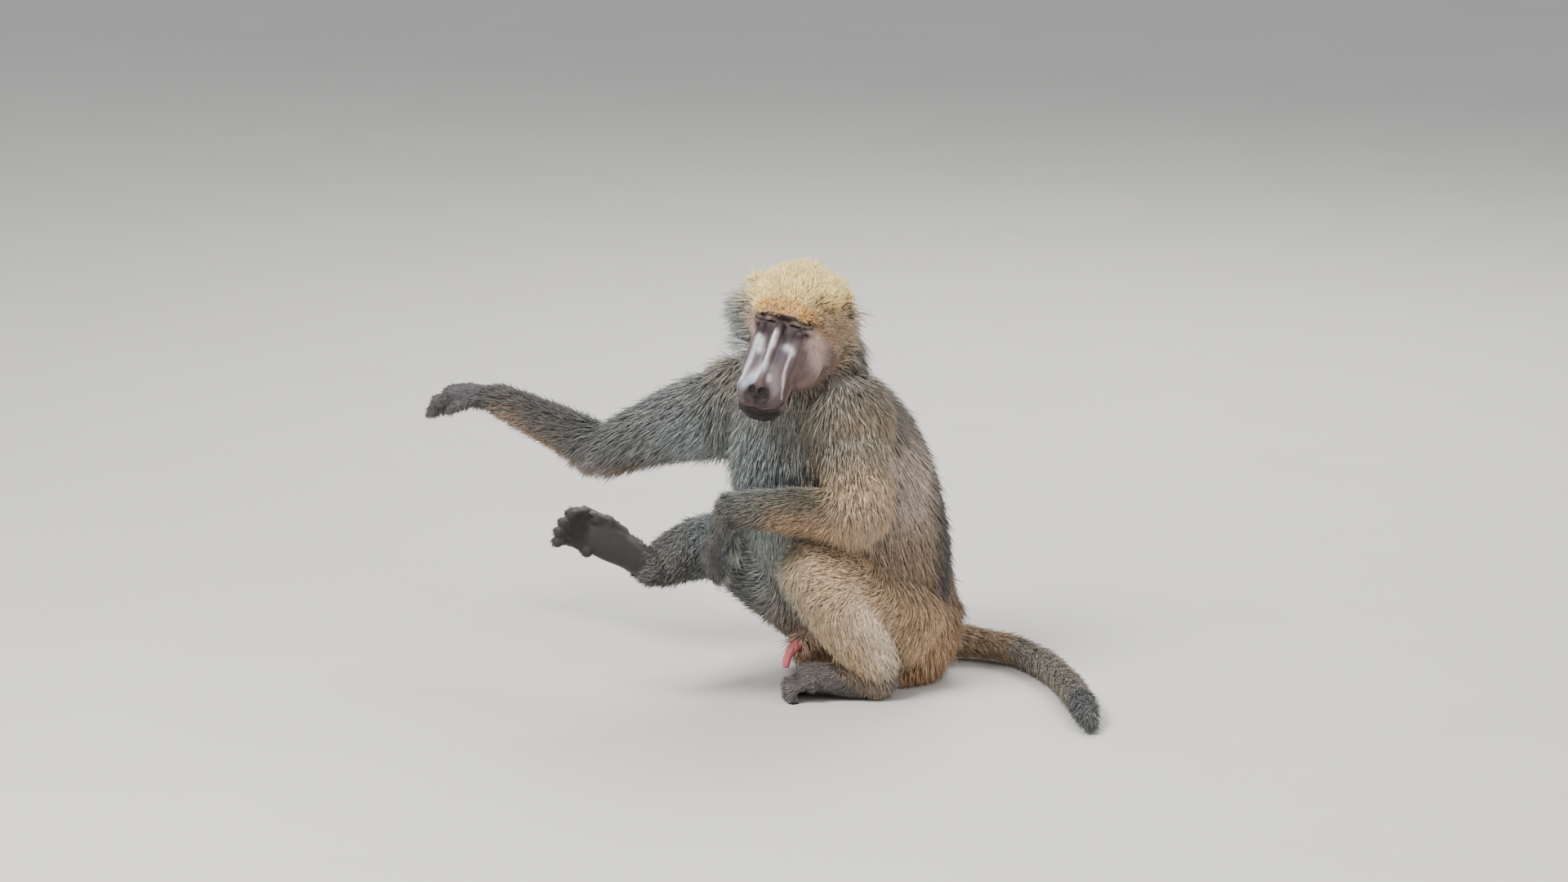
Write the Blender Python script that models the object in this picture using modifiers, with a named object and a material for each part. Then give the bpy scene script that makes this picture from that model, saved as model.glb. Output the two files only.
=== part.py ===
"""A life-size still model of a seated adult male baboon, for a museum floor.

He sits on his rump with his back slumped. His right arm reaches out level to his side, his left forearm
lies over his raised left knee, and his right leg is stretched out with its sole turned forward.
Metres, +Z up. The viewer in front looks along +Y, and the animal's own left is on the viewer's right.
Each node is out to the tips of the coat. The origin is at the bottom centre of the whole model's box.
"""

import math
import random

import bmesh
import bpy
from mathutils import Matrix, Vector
from mathutils.bvhtree import BVHTree

# How the finished nodes are set in space.
ORIGIN = Vector((-0.164, -0.019, 0.0))  # where the box's bottom centre lies from the point under the body
GAP = 0.0003  # kept between touching nodes
CUT_GAP = 0.0005  # how far a node's cutter stands out, so that the gap holds at its creases too

# The body's own directions at the pelvis and the shoulders.
FORWARD = Vector((-0.77, -0.64, 0.0)).normalized()
LEFT = Vector((0.64, -0.77, 0.0)).normalized()
UP = Vector((0.0, 0.0, 1.0))

# Joint centres, from the photograph's pose and a big male's bone lengths.
HIP_LEFT = Vector((0.085, -0.045, 0.125))
HIP_RIGHT = Vector((-0.012, 0.070, 0.112))
KNEE_LEFT = Vector((-0.069, -0.180, 0.250))
KNEE_RIGHT = Vector((-0.215, -0.010, 0.250))
ANKLE_LEFT = Vector((0.052, -0.134, 0.058))
ANKLE_RIGHT = Vector((-0.326, -0.190, 0.254))
SHOULDER_LEFT = Vector((-0.010, -0.105, 0.500))
SHOULDER_RIGHT = Vector((-0.190, 0.055, 0.480))
ELBOW_LEFT = Vector((0.022, -0.215, 0.350))
ELBOW_RIGHT = Vector((-0.426, 0.080, 0.398))
WRIST_LEFT = Vector((-0.206, -0.232, 0.362))
WRIST_RIGHT = Vector((-0.622, 0.236, 0.458))
KNUCKLES_LEFT = Vector((-0.238, -0.232, 0.292))
KNUCKLES_RIGHT = Vector((-0.700, 0.296, 0.457))
HEEL_LEFT = Vector((0.062, -0.130, 0.030))
TOES_LEFT = Vector((-0.152, -0.140, 0.024))
HEEL_RIGHT = Vector((-0.336, -0.205, 0.243))
TOES_RIGHT = Vector((-0.505, -0.225, 0.362))

# The head: the bridge between the eyes, and the muzzle's own directions.
BRIDGE = Vector((-0.117, -0.190, 0.686))
MUZZLE = Vector((-0.327, -0.473, -0.818)).normalized()
HEAD_LEFT = Vector((0.912, -0.385, -0.142)).normalized()
MUZZLE_TOP = MUZZLE.cross(HEAD_LEFT).normalized()
HEAD_TILT = math.radians(32)  # the skull's level above the line of the muzzle
HEAD_FORWARD = MUZZLE * math.cos(HEAD_TILT) + MUZZLE_TOP * math.sin(HEAD_TILT)
HEAD_UP = HEAD_FORWARD.cross(HEAD_LEFT)
HEAD_AXES = (HEAD_FORWARD, HEAD_LEFT, HEAD_UP)
MUZZLE_AXES = (MUZZLE, HEAD_LEFT, MUZZLE_TOP)
EYE_APART = 0.048
EYE_RADIUS = 0.0118
LID_RADIUS = 0.0150
LIMB_BULGE = 0.008  # how far the right arm and shin bow up in their middles

# The bar of the brow, from end to end on the skull, and the left half of the line of the mouth, from its
# middle to its corner on the muzzle, both in centimetres from the bridge.
BROW = ((-1.7, -5.0, 0.3), (-0.8, -2.8, 0.9), (-0.8, 0.0, 0.7), (-0.8, 2.8, 0.9), (-1.7, 5.0, 0.3))
MOUTH = ((15.9, 0.0, -2.8), (14.6, 3.3, -3.7), (13.0, 4.0, -4.5), (9.5, 4.4, -5.3), (7.0, 4.6, -5.8))

# Hands and feet.
FINGER_RADIUS = 0.0098
FINGER_LENGTH = 0.062
FINGER_APART = 0.0178
TOE_RADIUS = 0.0108
TOE_APART = 0.0182
BIG_TOE_RADIUS = 0.0135

# Locks of the long coat: how deep a root lies, how thick a lock is, and how long and wide each kind is.
LOCK_SINK = 0.006
LOCK_THICK = 0.0026
CROWN_LENGTH = (0.026, 0.033)
CROWN_WIDTH = (0.0110, 0.0135)
RUFF_LENGTH = (0.048, 0.060)
RUFF_WIDTH = (0.0110, 0.0140)
MANTLE_LENGTH = 0.078
CHEST_LENGTH = 0.058
MANTLE_WIDTH = (0.0170, 0.0215)

# Triangles that each kind of node is thinned to before its coat is added.
FACES = {
    "torso": 780,
    "neck": 240,
    "head": 1650,
    "upper_arm": 150,
    "forearm": 140,
    "hand": 560,
    "thigh": 170,
    "shin": 150,
    "foot": 600,
    "tail": 110,
    "ear": 130,
}

COLOURS = {
    "coat": (0.34, 0.25, 0.16),
    "mantle": (0.27, 0.22, 0.17),
    "skin": (0.12, 0.09, 0.085),
    "eye": (0.16, 0.08, 0.03),
}


def clear_scene():
    for thing in list(bpy.data.objects):
        bpy.data.objects.remove(thing)


def new_collection(name, shown):
    made = bpy.data.collections.new(name)
    bpy.context.scene.collection.children.link(made)
    made.hide_render = not shown
    return made


def finish_node(thing, finish):
    """Gives a node its own material and smooth shading."""
    made = bpy.data.materials.new(f"{finish}_{thing.name}")
    made.use_nodes = True
    shader = made.node_tree.nodes["Principled BSDF"]
    shader.inputs["Base Color"].default_value = (*COLOURS[finish], 1.0)
    shader.inputs["Roughness"].default_value = 0.25 if finish == "eye" else 0.85
    thing.data.materials.clear()
    thing.data.materials.append(made)
    thing.data.shade_smooth()


def square_to(axis, side):
    """The part of side that is square to axis, as a unit vector."""
    return (side - axis * side.dot(axis)).normalized()


def smooth_value(a, b, c, d, t):
    """A point of the smooth curve through b and c, with a before and d after them."""
    return 0.5 * ((2 * b) + (c - a) * t + (2 * a - 5 * b + 4 * c - d) * t * t + (3 * b - a - 3 * c + d) * t**3)


def smooth_stations(stations, steps):
    """More stations on the smooth curve through these ones."""
    found = []
    last = len(stations) - 1
    for i in range(last):
        around = [stations[min(max(i + k, 0), last)] for k in (-1, 0, 1, 2)]
        for step in range(steps):
            t = step / steps
            found.append(tuple(smooth_value(*[s[k] for s in around], t) for k in range(3)))
    found.append(stations[last])
    return found


def with_domes(stations, start, end):
    """The stations with two smaller ones beyond each end, so that it closes in a dome of that depth."""
    first, last = stations[0], stations[-1]
    out_first = (first[0] - stations[1][0]).normalized() * first[1] * start
    out_last = (last[0] - stations[-2][0]).normalized() * last[1] * end
    before = [(first[0] + out_first * d, first[1] * s, first[2] * s) for s, d in ((0.42, 0.95), (0.82, 0.6))]
    after = [(last[0] + out_last * d, last[1] * s, last[2] * s) for s, d in ((0.82, 0.6), (0.42, 0.95))]
    return before + stations + after


def loft(stations, side, sides=20, steps=4, start=1.0, end=1.0, corner=0.0):
    """A closed tube through stations of (centre, half width, half depth); widths lie along side.

    corner squares its section: 0 leaves an ellipse, 1 nearly a box. With no start it has flat ends.
    """
    rings = smooth_stations(stations, steps)
    if start:
        rings = with_domes(rings, start, end)
    mesh = bmesh.new()
    ring = bmesh.ops.create_circle(mesh, cap_ends=True, segments=sides, radius=1.0)["verts"]
    for vertex in ring:
        reach = max(abs(vertex.co.x), abs(vertex.co.y))
        vertex.co *= 1 + corner * (1 / reach - 1)
    edges = list(mesh.edges)
    placed = Matrix.Identity(4)
    for i, (centre, wide, deep) in enumerate(rings):
        ahead = rings[min(i + 1, len(rings) - 1)][0]
        behind = rings[max(i - 1, 0)][0]
        axis = (ahead - behind).normalized()
        across = square_to(axis, side)
        out = axis.cross(across)
        place = Matrix((across * wide, out * deep, axis * wide)).transposed().to_4x4()
        place.translation = centre
        if i:
            made = bmesh.ops.extrude_edge_only(mesh, edges=edges)["geom"]
            ring = [g for g in made if isinstance(g, bmesh.types.BMVert)]
            edges = [g for g in made if isinstance(g, bmesh.types.BMEdge)]
        bmesh.ops.transform(mesh, matrix=place @ placed.inverted(), verts=ring)
        placed = place
    bmesh.ops.edgeloop_fill(mesh, edges=edges)
    bmesh.ops.recalc_face_normals(mesh, faces=mesh.faces)
    return mesh


def ball(centre, radii, axes=(Vector((1, 0, 0)), Vector((0, 1, 0)), Vector((0, 0, 1))), sides=20):
    """An ellipsoid with its radii along these axes."""
    mesh = bmesh.new()
    place = Matrix([axis * radius for axis, radius in zip(axes, radii)]).transposed().to_4x4()
    place.translation = centre
    bmesh.ops.create_uvsphere(mesh, u_segments=sides, v_segments=sides // 2, radius=1.0, matrix=place)
    bmesh.ops.recalc_face_normals(mesh, faces=mesh.faces)
    return mesh


def tube(points, radii, side=UP, sides=12, steps=3):
    """A round tapering tube through these points."""
    return loft([(p, r, r) for p, r in zip(points, radii)], side, sides, steps)


def object_of(name, mesh, collection):
    data = bpy.data.meshes.new(name)
    mesh.to_mesh(data)
    mesh.free()
    made = bpy.data.objects.new(name, data)
    collection.objects.link(made)
    return made


def apply_modifiers(thing):
    """Replaces the object's mesh by the one that its modifiers make."""
    graph = bpy.context.evaluated_depsgraph_get()
    shaped = bpy.data.meshes.new_from_object(thing.evaluated_get(graph))
    thing.modifiers.clear()
    old = thing.data
    thing.data = shaped
    bpy.data.meshes.remove(old)


def triangle_count(data):
    return sum(len(face.vertices) - 2 for face in data.polygons)


def keep_largest(thing):
    """Drops all but the largest closed surface of the object's mesh."""
    mesh = bmesh.new()
    mesh.from_mesh(thing.data)
    unseen = set(mesh.verts)
    islands = []
    while unseen:
        front = [unseen.pop()]
        island = list(front)
        while front:
            near = {e.other_vert(v) for v in front for e in v.link_edges} & unseen
            unseen -= near
            front = list(near)
            island += front
        islands.append(island)
    islands.sort(key=lambda island: -box_volume(island))
    bmesh.ops.delete(mesh, geom=[v for island in islands[1:] for v in island], context="VERTS")
    mesh.to_mesh(thing.data)
    mesh.free()


def box_volume(vertices):
    """The volume of the box round these points, by which islands are put in order."""
    spans = [max(v.co[k] for v in vertices) - min(v.co[k] for v in vertices) for k in range(3)]
    return spans[0] * spans[1] * spans[2]


def fuse(name, forms, collection, faces, voxel=0.006, smoothing=6):
    """One closed skin round all the forms, smoothed and thinned to about this many triangles."""
    joined = bmesh.new()
    for form in forms:
        data = bpy.data.meshes.new("form")
        form.to_mesh(data)
        form.free()
        joined.from_mesh(data)
        bpy.data.meshes.remove(data)
    made = object_of(name, joined, collection)
    remesh = made.modifiers.new("one skin", "REMESH")
    remesh.mode = "VOXEL"
    remesh.voxel_size = voxel
    soften = made.modifiers.new("soften", "SMOOTH")
    soften.factor = 0.5
    soften.iterations = smoothing
    apply_modifiers(made)
    keep_largest(made)
    thin = made.modifiers.new("thin", "DECIMATE")
    thin.ratio = min(1.0, faces / triangle_count(made.data))
    thin.use_collapse_triangulate = True
    apply_modifiers(made)
    return made


def cut_flat(thing):
    """Cuts off what lies under the floor, and closes the flat."""
    mesh = bmesh.new()
    mesh.from_mesh(thing.data)
    geometry = mesh.verts[:] + mesh.edges[:] + mesh.faces[:]
    cut = bmesh.ops.bisect_plane(
        mesh, geom=geometry, dist=1e-6, plane_co=(0, 0, 0), plane_no=(0, 0, 1), clear_inner=True
    )
    edges = [g for g in cut["geom_cut"] if isinstance(g, bmesh.types.BMEdge)]
    bmesh.ops.contextual_create(mesh, geom=edges)
    bmesh.ops.triangulate(mesh, faces=mesh.faces)
    mesh.to_mesh(thing.data)
    mesh.free()


def grown_copy(thing, by, collection):
    """A helper copy whose every face stands out by this much."""
    mesh = bmesh.new()
    mesh.from_mesh(thing.data)
    mesh.normal_update()
    moves = [v.normal * by * min(v.calc_shell_factor(), 3.0) for v in mesh.verts]
    for vertex, move in zip(mesh.verts, moves):
        vertex.co += move
    made = object_of(thing.name + "_cutter", mesh, collection)
    made.display_type = "WIRE"
    made.hide_render = True
    return made


def boolean(thing, others, operation):
    """Joins or cuts by closed meshes, which are then removed.

    The solver is the manifold one, because the exact one leaves the head and a forearm open here.
    """
    for other in others:
        step = thing.modifiers.new("boolean", "BOOLEAN")
        step.operation = operation
        step.solver = "MANIFOLD"
        step.object = other
        apply_modifiers(thing)
    for other in others:
        data = other.data
        bpy.data.objects.remove(other)
        bpy.data.meshes.remove(data)
    keep_largest(thing)


def near(a, b, margin=0.002):
    """Whether two objects' boxes come near each other."""
    boxes = []
    for thing in (a, b):
        points = [v.co for v in thing.data.vertices]
        boxes.append([(min(p[k] for p in points), max(p[k] for p in points)) for k in range(3)])
    return all(x[0] - margin < y[1] and y[0] - margin < x[1] for x, y in zip(*boxes))


def fit_round(thing, finished, collection):
    """Cuts the object clear of the finished nodes that it meets, by the usual gap."""
    for other in finished:
        if near(thing, other):
            cuts = [grown_copy(other, by, collection) for by in (0.0, CUT_GAP)]
            boolean(thing, cuts, "DIFFERENCE")


def skull_point(forward, left, up):
    """A place on the head, from the bridge, by the skull's own level and in centimetres."""
    return BRIDGE + (HEAD_FORWARD * forward + HEAD_LEFT * left + HEAD_UP * up) * 0.01


def muzzle_point(along, left, top):
    """A place on the head, from the bridge, by the line of the muzzle and in centimetres."""
    return BRIDGE + (MUZZLE * along + HEAD_LEFT * left + MUZZLE_TOP * top) * 0.01


def torso_forms():
    """Rump, slumped belly, chest and shoulders. The last three balls are the seat pads."""
    spine = [
        (Vector((0.056, 0.045, 0.012)), 0.128, 0.112),
        (Vector((0.052, 0.040, 0.090)), 0.150, 0.138),
        (Vector((0.030, 0.025, 0.180)), 0.160, 0.160),
        (Vector((0.004, 0.008, 0.275)), 0.163, 0.180),
        (Vector((-0.026, -0.008, 0.360)), 0.166, 0.182),
        (Vector((-0.056, -0.025, 0.440)), 0.158, 0.165),
        (Vector((-0.078, -0.038, 0.510)), 0.126, 0.130),
        (Vector((-0.088, -0.045, 0.560)), 0.100, 0.105),
    ]
    axes = (LEFT, FORWARD, UP)
    return [
        loft(spine, LEFT, sides=28, start=0.3, end=0.5),
        ball(SHOULDER_LEFT.lerp(ELBOW_LEFT, 0.10), (0.075, 0.085, 0.100), axes),
        ball(SHOULDER_RIGHT + Vector((0.012, 0.0, 0.006)), (0.094, 0.084, 0.092), axes),
        ball(Vector((-0.095, 0.030, 0.300)), (0.110, 0.110, 0.120), axes),
        ball(Vector((0.105, 0.060, 0.105)), (0.110, 0.085, 0.110), axes),
        ball(Vector((0.085, 0.000, 0.060)), (0.070, 0.080, 0.066), axes),
        ball(Vector((0.010, 0.075, 0.060)), (0.070, 0.070, 0.064), axes),
        ball(Vector((-0.026, 0.088, 0.054)), (0.070, 0.084, 0.066), axes),
    ]


def neck_forms():
    low = Vector((-0.080, -0.036, 0.520))
    high = skull_point(-10.5, 0, -5.0)
    middle = low.lerp(high, 0.5)
    return [loft([(low, 0.118, 0.112), (middle, 0.106, 0.098), (high, 0.066, 0.060)], LEFT, sides=24, end=0.7)]


def lock(root, lie, out, length, width, bend):
    """A flat tapered lock of hair, rooted under the surface, that leaves along lie and bends as it goes."""
    base = root - out * LOCK_SINK - lie * LOCK_SINK
    across = out.cross(lie).normalized()
    stations = []
    for t, wide in ((0.0, 0.75), (0.4, 1.0), (0.75, 0.7), (1.0, 0.08)):
        centre = base + lie * length * t + bend * length * t * t
        stations.append((centre, width * wide, max(LOCK_THICK * wide, 0.0003)))
    return loft(stations, across, sides=4, steps=1, start=0)


def tree_of(thing, by=0.0):
    """The object's surface, pushed out by this much, as a tree that places and overlaps are looked up in."""
    mesh = bmesh.new()
    mesh.from_mesh(thing.data)
    mesh.normal_update()
    moves = [v.normal * by for v in mesh.verts]
    for vertex, move in zip(mesh.verts, moves):
        vertex.co += move
    tree = BVHTree.FromBMesh(mesh)
    mesh.free()
    return tree


def scatter(tree, centre, count, draw):
    """Places on the surface seen from a centre, spread evenly, each with the way out of the surface there."""
    for i in range(count):
        height = 1 - 2 * (i + 0.5) / count
        turn = i * math.pi * (3 - math.sqrt(5)) + draw.uniform(-0.1, 0.1)
        level = math.sqrt(1 - height * height)
        ray = Vector((math.cos(turn) * level, math.sin(turn) * level, height))
        place, out, _, _ = tree.ray_cast(centre + ray * 0.6, -ray)
        if place:
            yield place, out


def add_locks(thing, centre, count, growth, others, seed):
    """Covers a node with locks where growth gives one, each clear of the other nodes, and fuses them to it.

    growth(place, out, draw) returns (lie, length, width, bend), or None where no lock grows.
    """
    draw = random.Random(seed)
    around = [tree_of(other, 0.001) for other in others]
    coat = bpy.data.collections.new("coat")
    for place, out in scatter(tree_of(thing), centre, count, draw):
        grown = growth(place, out, draw)
        if not grown:
            continue
        lie, length, width, bend = grown
        for shorter in (1.0, 0.8, 0.6):
            mesh = lock(place, lie, out, length * shorter, width, bend)
            tree = BVHTree.FromBMesh(mesh)
            if not any(tree.overlap(near_tree) for near_tree in around):
                object_of("lock", mesh, coat)
                break
            mesh.free()
    join = thing.modifiers.new("coat", "BOOLEAN")
    join.operation = "UNION"
    join.operand_type = "COLLECTION"
    join.collection = coat
    join.solver = "MANIFOLD"
    bpy.context.scene.collection.children.link(coat)
    apply_modifiers(thing)
    for piece in list(coat.objects):
        data = piece.data
        bpy.data.objects.remove(piece)
        bpy.data.meshes.remove(data)
    bpy.data.collections.remove(coat)
    keep_largest(thing)


def in_skull(place):
    """A place's position on the head, in centimetres from the bridge: forward, left and up."""
    offset = (place - BRIDGE) * 100
    return offset.dot(HEAD_FORWARD), offset.dot(HEAD_LEFT), offset.dot(HEAD_UP)


def head_growth(place, out, draw):
    """The upright crown behind the brow, and the ruff that sweeps back from the cheeks."""
    forward, left, up = in_skull(place)
    hand = 1 if left > 0 else -1
    if (place - ear_place(hand)[0]).length < 0.021:
        return None
    if up > 1.0 and forward < -1.2:
        lie = (out * 0.75 - HEAD_FORWARD * 0.45 + HEAD_UP * 0.20).normalized()
        return lie, draw.uniform(*CROWN_LENGTH), draw.uniform(*CROWN_WIDTH), HEAD_UP * 0.10 - out * 0.12
    if forward < -4.0 and abs(left) > 3.5 and -10.5 < up <= 1.0:
        lie = (out * 0.42 - HEAD_FORWARD * 0.70 + HEAD_LEFT * hand * 0.20 - HEAD_UP * 0.28).normalized()
        return lie, draw.uniform(*RUFF_LENGTH), draw.uniform(*RUFF_WIDTH), -HEAD_UP * 0.18
    return None


def mantle_growth(place, out, draw):
    """Long hair down the nape, the shoulders and the upper back, shorter on the chest."""
    if place.z < 0.30:
        return None
    front = (place - Vector((-0.06, -0.03, place.z))).dot(FORWARD)
    if front > 0.055 and place.z < 0.42:
        return None
    hang = square_to(out, -UP - FORWARD * 0.15)
    length = MANTLE_LENGTH if front < 0.03 else CHEST_LENGTH
    lie = (hang + out * 0.26).normalized()
    return lie, length * draw.uniform(0.88, 1.12), draw.uniform(*MANTLE_WIDTH), -out * 0.10


def head_forms():
    """Skull, brow bar, cheeks, muzzle and jaw, with the short coat of the face and the depth of the ruff."""
    upper = [
        (muzzle_point(-1.0, 0, -5.2), 0.046, 0.035),
        (muzzle_point(2.0, 0, -4.1), 0.043, 0.034),
        (muzzle_point(6.0, -0.05, -3.6), 0.0410, 0.031),
        (muzzle_point(10.0, -0.2, -3.3), 0.0430, 0.027),
        (muzzle_point(13.0, -0.35, -3.1), 0.0450, 0.023),
    ]
    jaw = [
        (muzzle_point(-3.0, 0, -8.6), 0.054, 0.036),
        (muzzle_point(3.0, 0, -8.0), 0.047, 0.033),
        (muzzle_point(9.0, -0.2, -6.5), 0.0390, 0.0250),
        (muzzle_point(14.0, -0.35, -5.4), 0.0445, 0.0235),
    ]
    forms = [
        ball(skull_point(-7.8, 0, -0.6), (0.074, 0.080, 0.046), HEAD_AXES, 28),
        ball(skull_point(-4.6, 0, 0.0), (0.042, 0.062, 0.029), HEAD_AXES, 28),
        ball(skull_point(-8.5, 0, -4.5), (0.066, 0.074, 0.066), HEAD_AXES, 28),
        loft(upper, HEAD_LEFT, sides=28, start=0.3, end=0.70, corner=0.45),
        loft(jaw, HEAD_LEFT, sides=24, start=0.3, end=0.70, corner=0.3),
        ball(muzzle_point(13.3, 0, -1.2), (0.0150, 0.0200, 0.0110), MUZZLE_AXES),
        tube([skull_point(*place) for place in BROW], (0.0090, 0.0105, 0.0105, 0.0105, 0.0090), HEAD_UP),
        tube([muzzle_point(1.0, 0, -0.3), muzzle_point(7.0, 0, -0.35), muzzle_point(13.0, 0, -0.9)],
             (0.0085, 0.0080, 0.0080), HEAD_LEFT),
    ]
    for hand in (-1, 1):
        forms.append(ball(muzzle_point(4.0, 3.6 * hand, -7.6), (0.056, 0.031, 0.042), MUZZLE_AXES))
        forms.append(ball(skull_point(-4.6, 4.4 * hand, -4.6), (0.046, 0.038, 0.052), HEAD_AXES))
        forms.append(ball(skull_point(-7.2, 5.0 * hand, -4.4), (0.052, 0.040, 0.058), HEAD_AXES))
        forms.append(ball(skull_point(-5.2, 4.4 * hand, -8.0), (0.048, 0.034, 0.045), HEAD_AXES))
        cheekbone = [muzzle_point(0.4, 4.4 * hand, -2.0), skull_point(-4.0, 6.0 * hand, -2.6)]
        forms.append(tube(cheekbone, (0.0120, 0.0150)))
        ridge = [muzzle_point(1.4, 3.3 * hand, -1.6), muzzle_point(4.6, 3.5 * hand, -1.3),
                 muzzle_point(9.0, 3.4 * hand, -1.4), muzzle_point(12.4, 3.0 * hand, -1.9)]
        forms.append(tube(ridge, (0.0090, 0.0100, 0.0095, 0.0080), HEAD_LEFT))
    return forms


def eye_centre(hand):
    return muzzle_point(-0.9, EYE_APART * 50 * hand, -1.55)


def add_eye_sockets(head, cutters):
    """Lids over each eyeball, a round socket for it and a narrow slit between the lids."""
    for hand in (-1, 1):
        boolean(head, [object_of("lid", ball(eye_centre(hand), (LID_RADIUS,) * 3), cutters)], "UNION")
    for hand in (-1, 1):
        cut = object_of("socket", ball(eye_centre(hand), (EYE_RADIUS + CUT_GAP,) * 3, sides=14), cutters)
        slit_centre = eye_centre(hand) + HEAD_FORWARD * 0.0125 - HEAD_UP * 0.0040
        slit = object_of("slit", ball(slit_centre, (0.0100, 0.0100, 0.0016), HEAD_AXES), cutters)
        boolean(head, [cut, slit], "DIFFERENCE")


def cut_face_openings(head, cutters):
    """Nostrils, and the line of the mouth laid onto the head's surface."""
    tree = tree_of(head)
    for hand in (-1, 1):
        nostril = ball(muzzle_point(13.6, 1.0 * hand, -0.25), (0.0068, 0.0058, 0.0060), MUZZLE_AXES, 12)
        line = [tree.find_nearest(muzzle_point(m, s * hand, d))[0] for m, s, d in MOUTH]
        groove = tube(line, (0.0020, 0.0022, 0.0022, 0.0018, 0.0012), UP, 6, 2)
        for name, cut in (("nostril", nostril), ("mouth_line", groove)):
            boolean(head, [object_of(name, cut, cutters)], "DIFFERENCE")


def ear_place(hand):
    """An ear's middle, the way out of it and the way from its foot to its tip."""
    centre = skull_point(-8.2, 8.5 * hand, -1.6)
    out = (HEAD_LEFT * hand + HEAD_FORWARD * 0.45).normalized()
    flat = square_to(out, HEAD_UP - HEAD_FORWARD * 0.35)
    return centre, out, flat


def make_ear(name, hand, collection, cutters):
    """A thin leaf-shaped ear with a cup pressed in it."""
    centre, out, flat = ear_place(hand)
    along = out.cross(flat)
    forms = [ball(centre, (0.008, 0.024, 0.018), (out, flat, along)),
             ball(centre - out * 0.010 - flat * 0.004, (0.018, 0.015, 0.012), (out, flat, along))]
    ear = fuse(name, forms, collection, FACES["ear"], voxel=0.0022, smoothing=3)
    cup = ball(centre + out * 0.0075, (0.0075, 0.0170, 0.0120), (out, flat, along), 14)
    boolean(ear, [object_of("cup", cup, cutters)], "DIFFERENCE")
    return ear


def segment(a, b, radii, bulge=None):
    """A limb length from a to b with these radii spread evenly along it; bulge pushes its middle aside."""
    last = len(radii) - 1
    stations = []
    for i, radius in enumerate(radii):
        t = i / last
        centre = a.lerp(b, t)
        if bulge:
            centre += bulge * math.sin(math.pi * t)
        stations.append((centre, radius, radius))
    return loft(stations, UP, sides=18, steps=3, start=0.6, end=0.6)


def digit(points, radius, tip):
    """One finger or toe through these joints, thinned to this share of its radius at the tip."""
    radii = [radius * (1 - (1 - tip) * i / (len(points) - 1)) for i in range(len(points))]
    return tube(points, radii, UP, 10, 2)


def hand_forms(wrist, knuckles, palm_side, palm_down, curl):
    """Palm, four fingers and a thumb. palm_side points to the thumb, palm_down out of the palm."""
    along = (knuckles - wrist).normalized()
    across = square_to(along, palm_side)
    down = square_to(along, palm_down)
    palm = [(wrist - along * 0.012, 0.026, 0.021), (wrist.lerp(knuckles, 0.45), 0.033, 0.019),
            (knuckles, 0.036, 0.016)]
    forms = [loft(palm, across, sides=18, steps=3, start=0.5, end=0.6)]
    for i in range(4):
        offset = (1.5 - i) * FINGER_APART
        root = knuckles - along * 0.010 + across * offset
        length = FINGER_LENGTH * (0.92, 1.0, 0.98, 0.82)[i]
        spread = across * offset * 0.12
        middle = root + (along * math.cos(curl * 0.5) + down * math.sin(curl * 0.5)) * length * 0.55 + spread
        tip = middle + (along * math.cos(curl * 1.5) + down * math.sin(curl * 1.5)) * length * 0.60
        forms.append(digit([root, middle, tip], FINGER_RADIUS, 0.78))
    base = wrist.lerp(knuckles, 0.30) + across * 0.028
    bend = base + along * 0.026 + across * 0.018 + down * 0.010
    forms.append(digit([base, bend, bend + along * 0.020 + down * 0.012], FINGER_RADIUS, 0.8))
    return forms


def foot_forms(heel, toes, inner_side, sole_down, curl, arch, big_toe_out):
    """Heel, sole, four toes and a big toe like a thumb. arch lifts the knuckles off the sole's line."""
    along = (toes - heel).normalized()
    length = (toes - heel).length
    across = square_to(along, inner_side)
    down = square_to(along, sole_down)
    top = -down
    ball_of_foot = heel + along * length * 0.62 + top * arch
    sole = [(heel + top * 0.006, 0.027, 0.030),
            (heel + along * length * 0.25 + top * 0.006, 0.029, 0.031),
            (heel + along * length * 0.46 + top * arch * 0.7, 0.034, 0.025), (ball_of_foot, 0.037, 0.021)]
    forms = [loft(sole, across, sides=18, steps=3, start=0.7, end=0.5)]
    for i in range(4):
        offset = (1.35 - i) * TOE_APART
        root = ball_of_foot - along * 0.010 + across * offset
        reach = length * 0.40 * (0.96, 1.0, 0.97, 0.86)[i]
        middle = root + (along * math.cos(curl * 0.4) + down * math.sin(curl * 0.4)) * reach * 0.55
        tip = middle + (along * math.cos(curl * 1.6) + down * math.sin(curl * 1.6)) * reach * 0.50
        forms.append(digit([root, middle, tip], TOE_RADIUS, 0.85))
    base = heel + along * length * 0.40 + across * 0.024 + top * arch * 0.5
    bend = base + along * 0.034 + across * big_toe_out + down * 0.006
    forms.append(digit([base, bend, bend + along * 0.026 + down * (0.010 + arch * 0.7)], BIG_TOE_RADIUS, 0.88))
    return forms


# The tail's middle and radius from its root to its tip.
TAIL = [
    (Vector((0.100, 0.100, 0.085)), 0.050),
    (Vector((0.155, 0.142, 0.047)), 0.040),
    (Vector((0.222, 0.150, 0.034)), 0.034),
    (Vector((0.292, 0.106, 0.031)), 0.031),
    (Vector((0.342, 0.010, 0.030)), 0.030),
    (Vector((0.375, -0.110, 0.029)), 0.029),
    (Vector((0.394, -0.230, 0.028)), 0.028),
    (Vector((0.404, -0.320, 0.025)), 0.025),
    (Vector((0.408, -0.375, 0.018)), 0.014),
]


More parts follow.
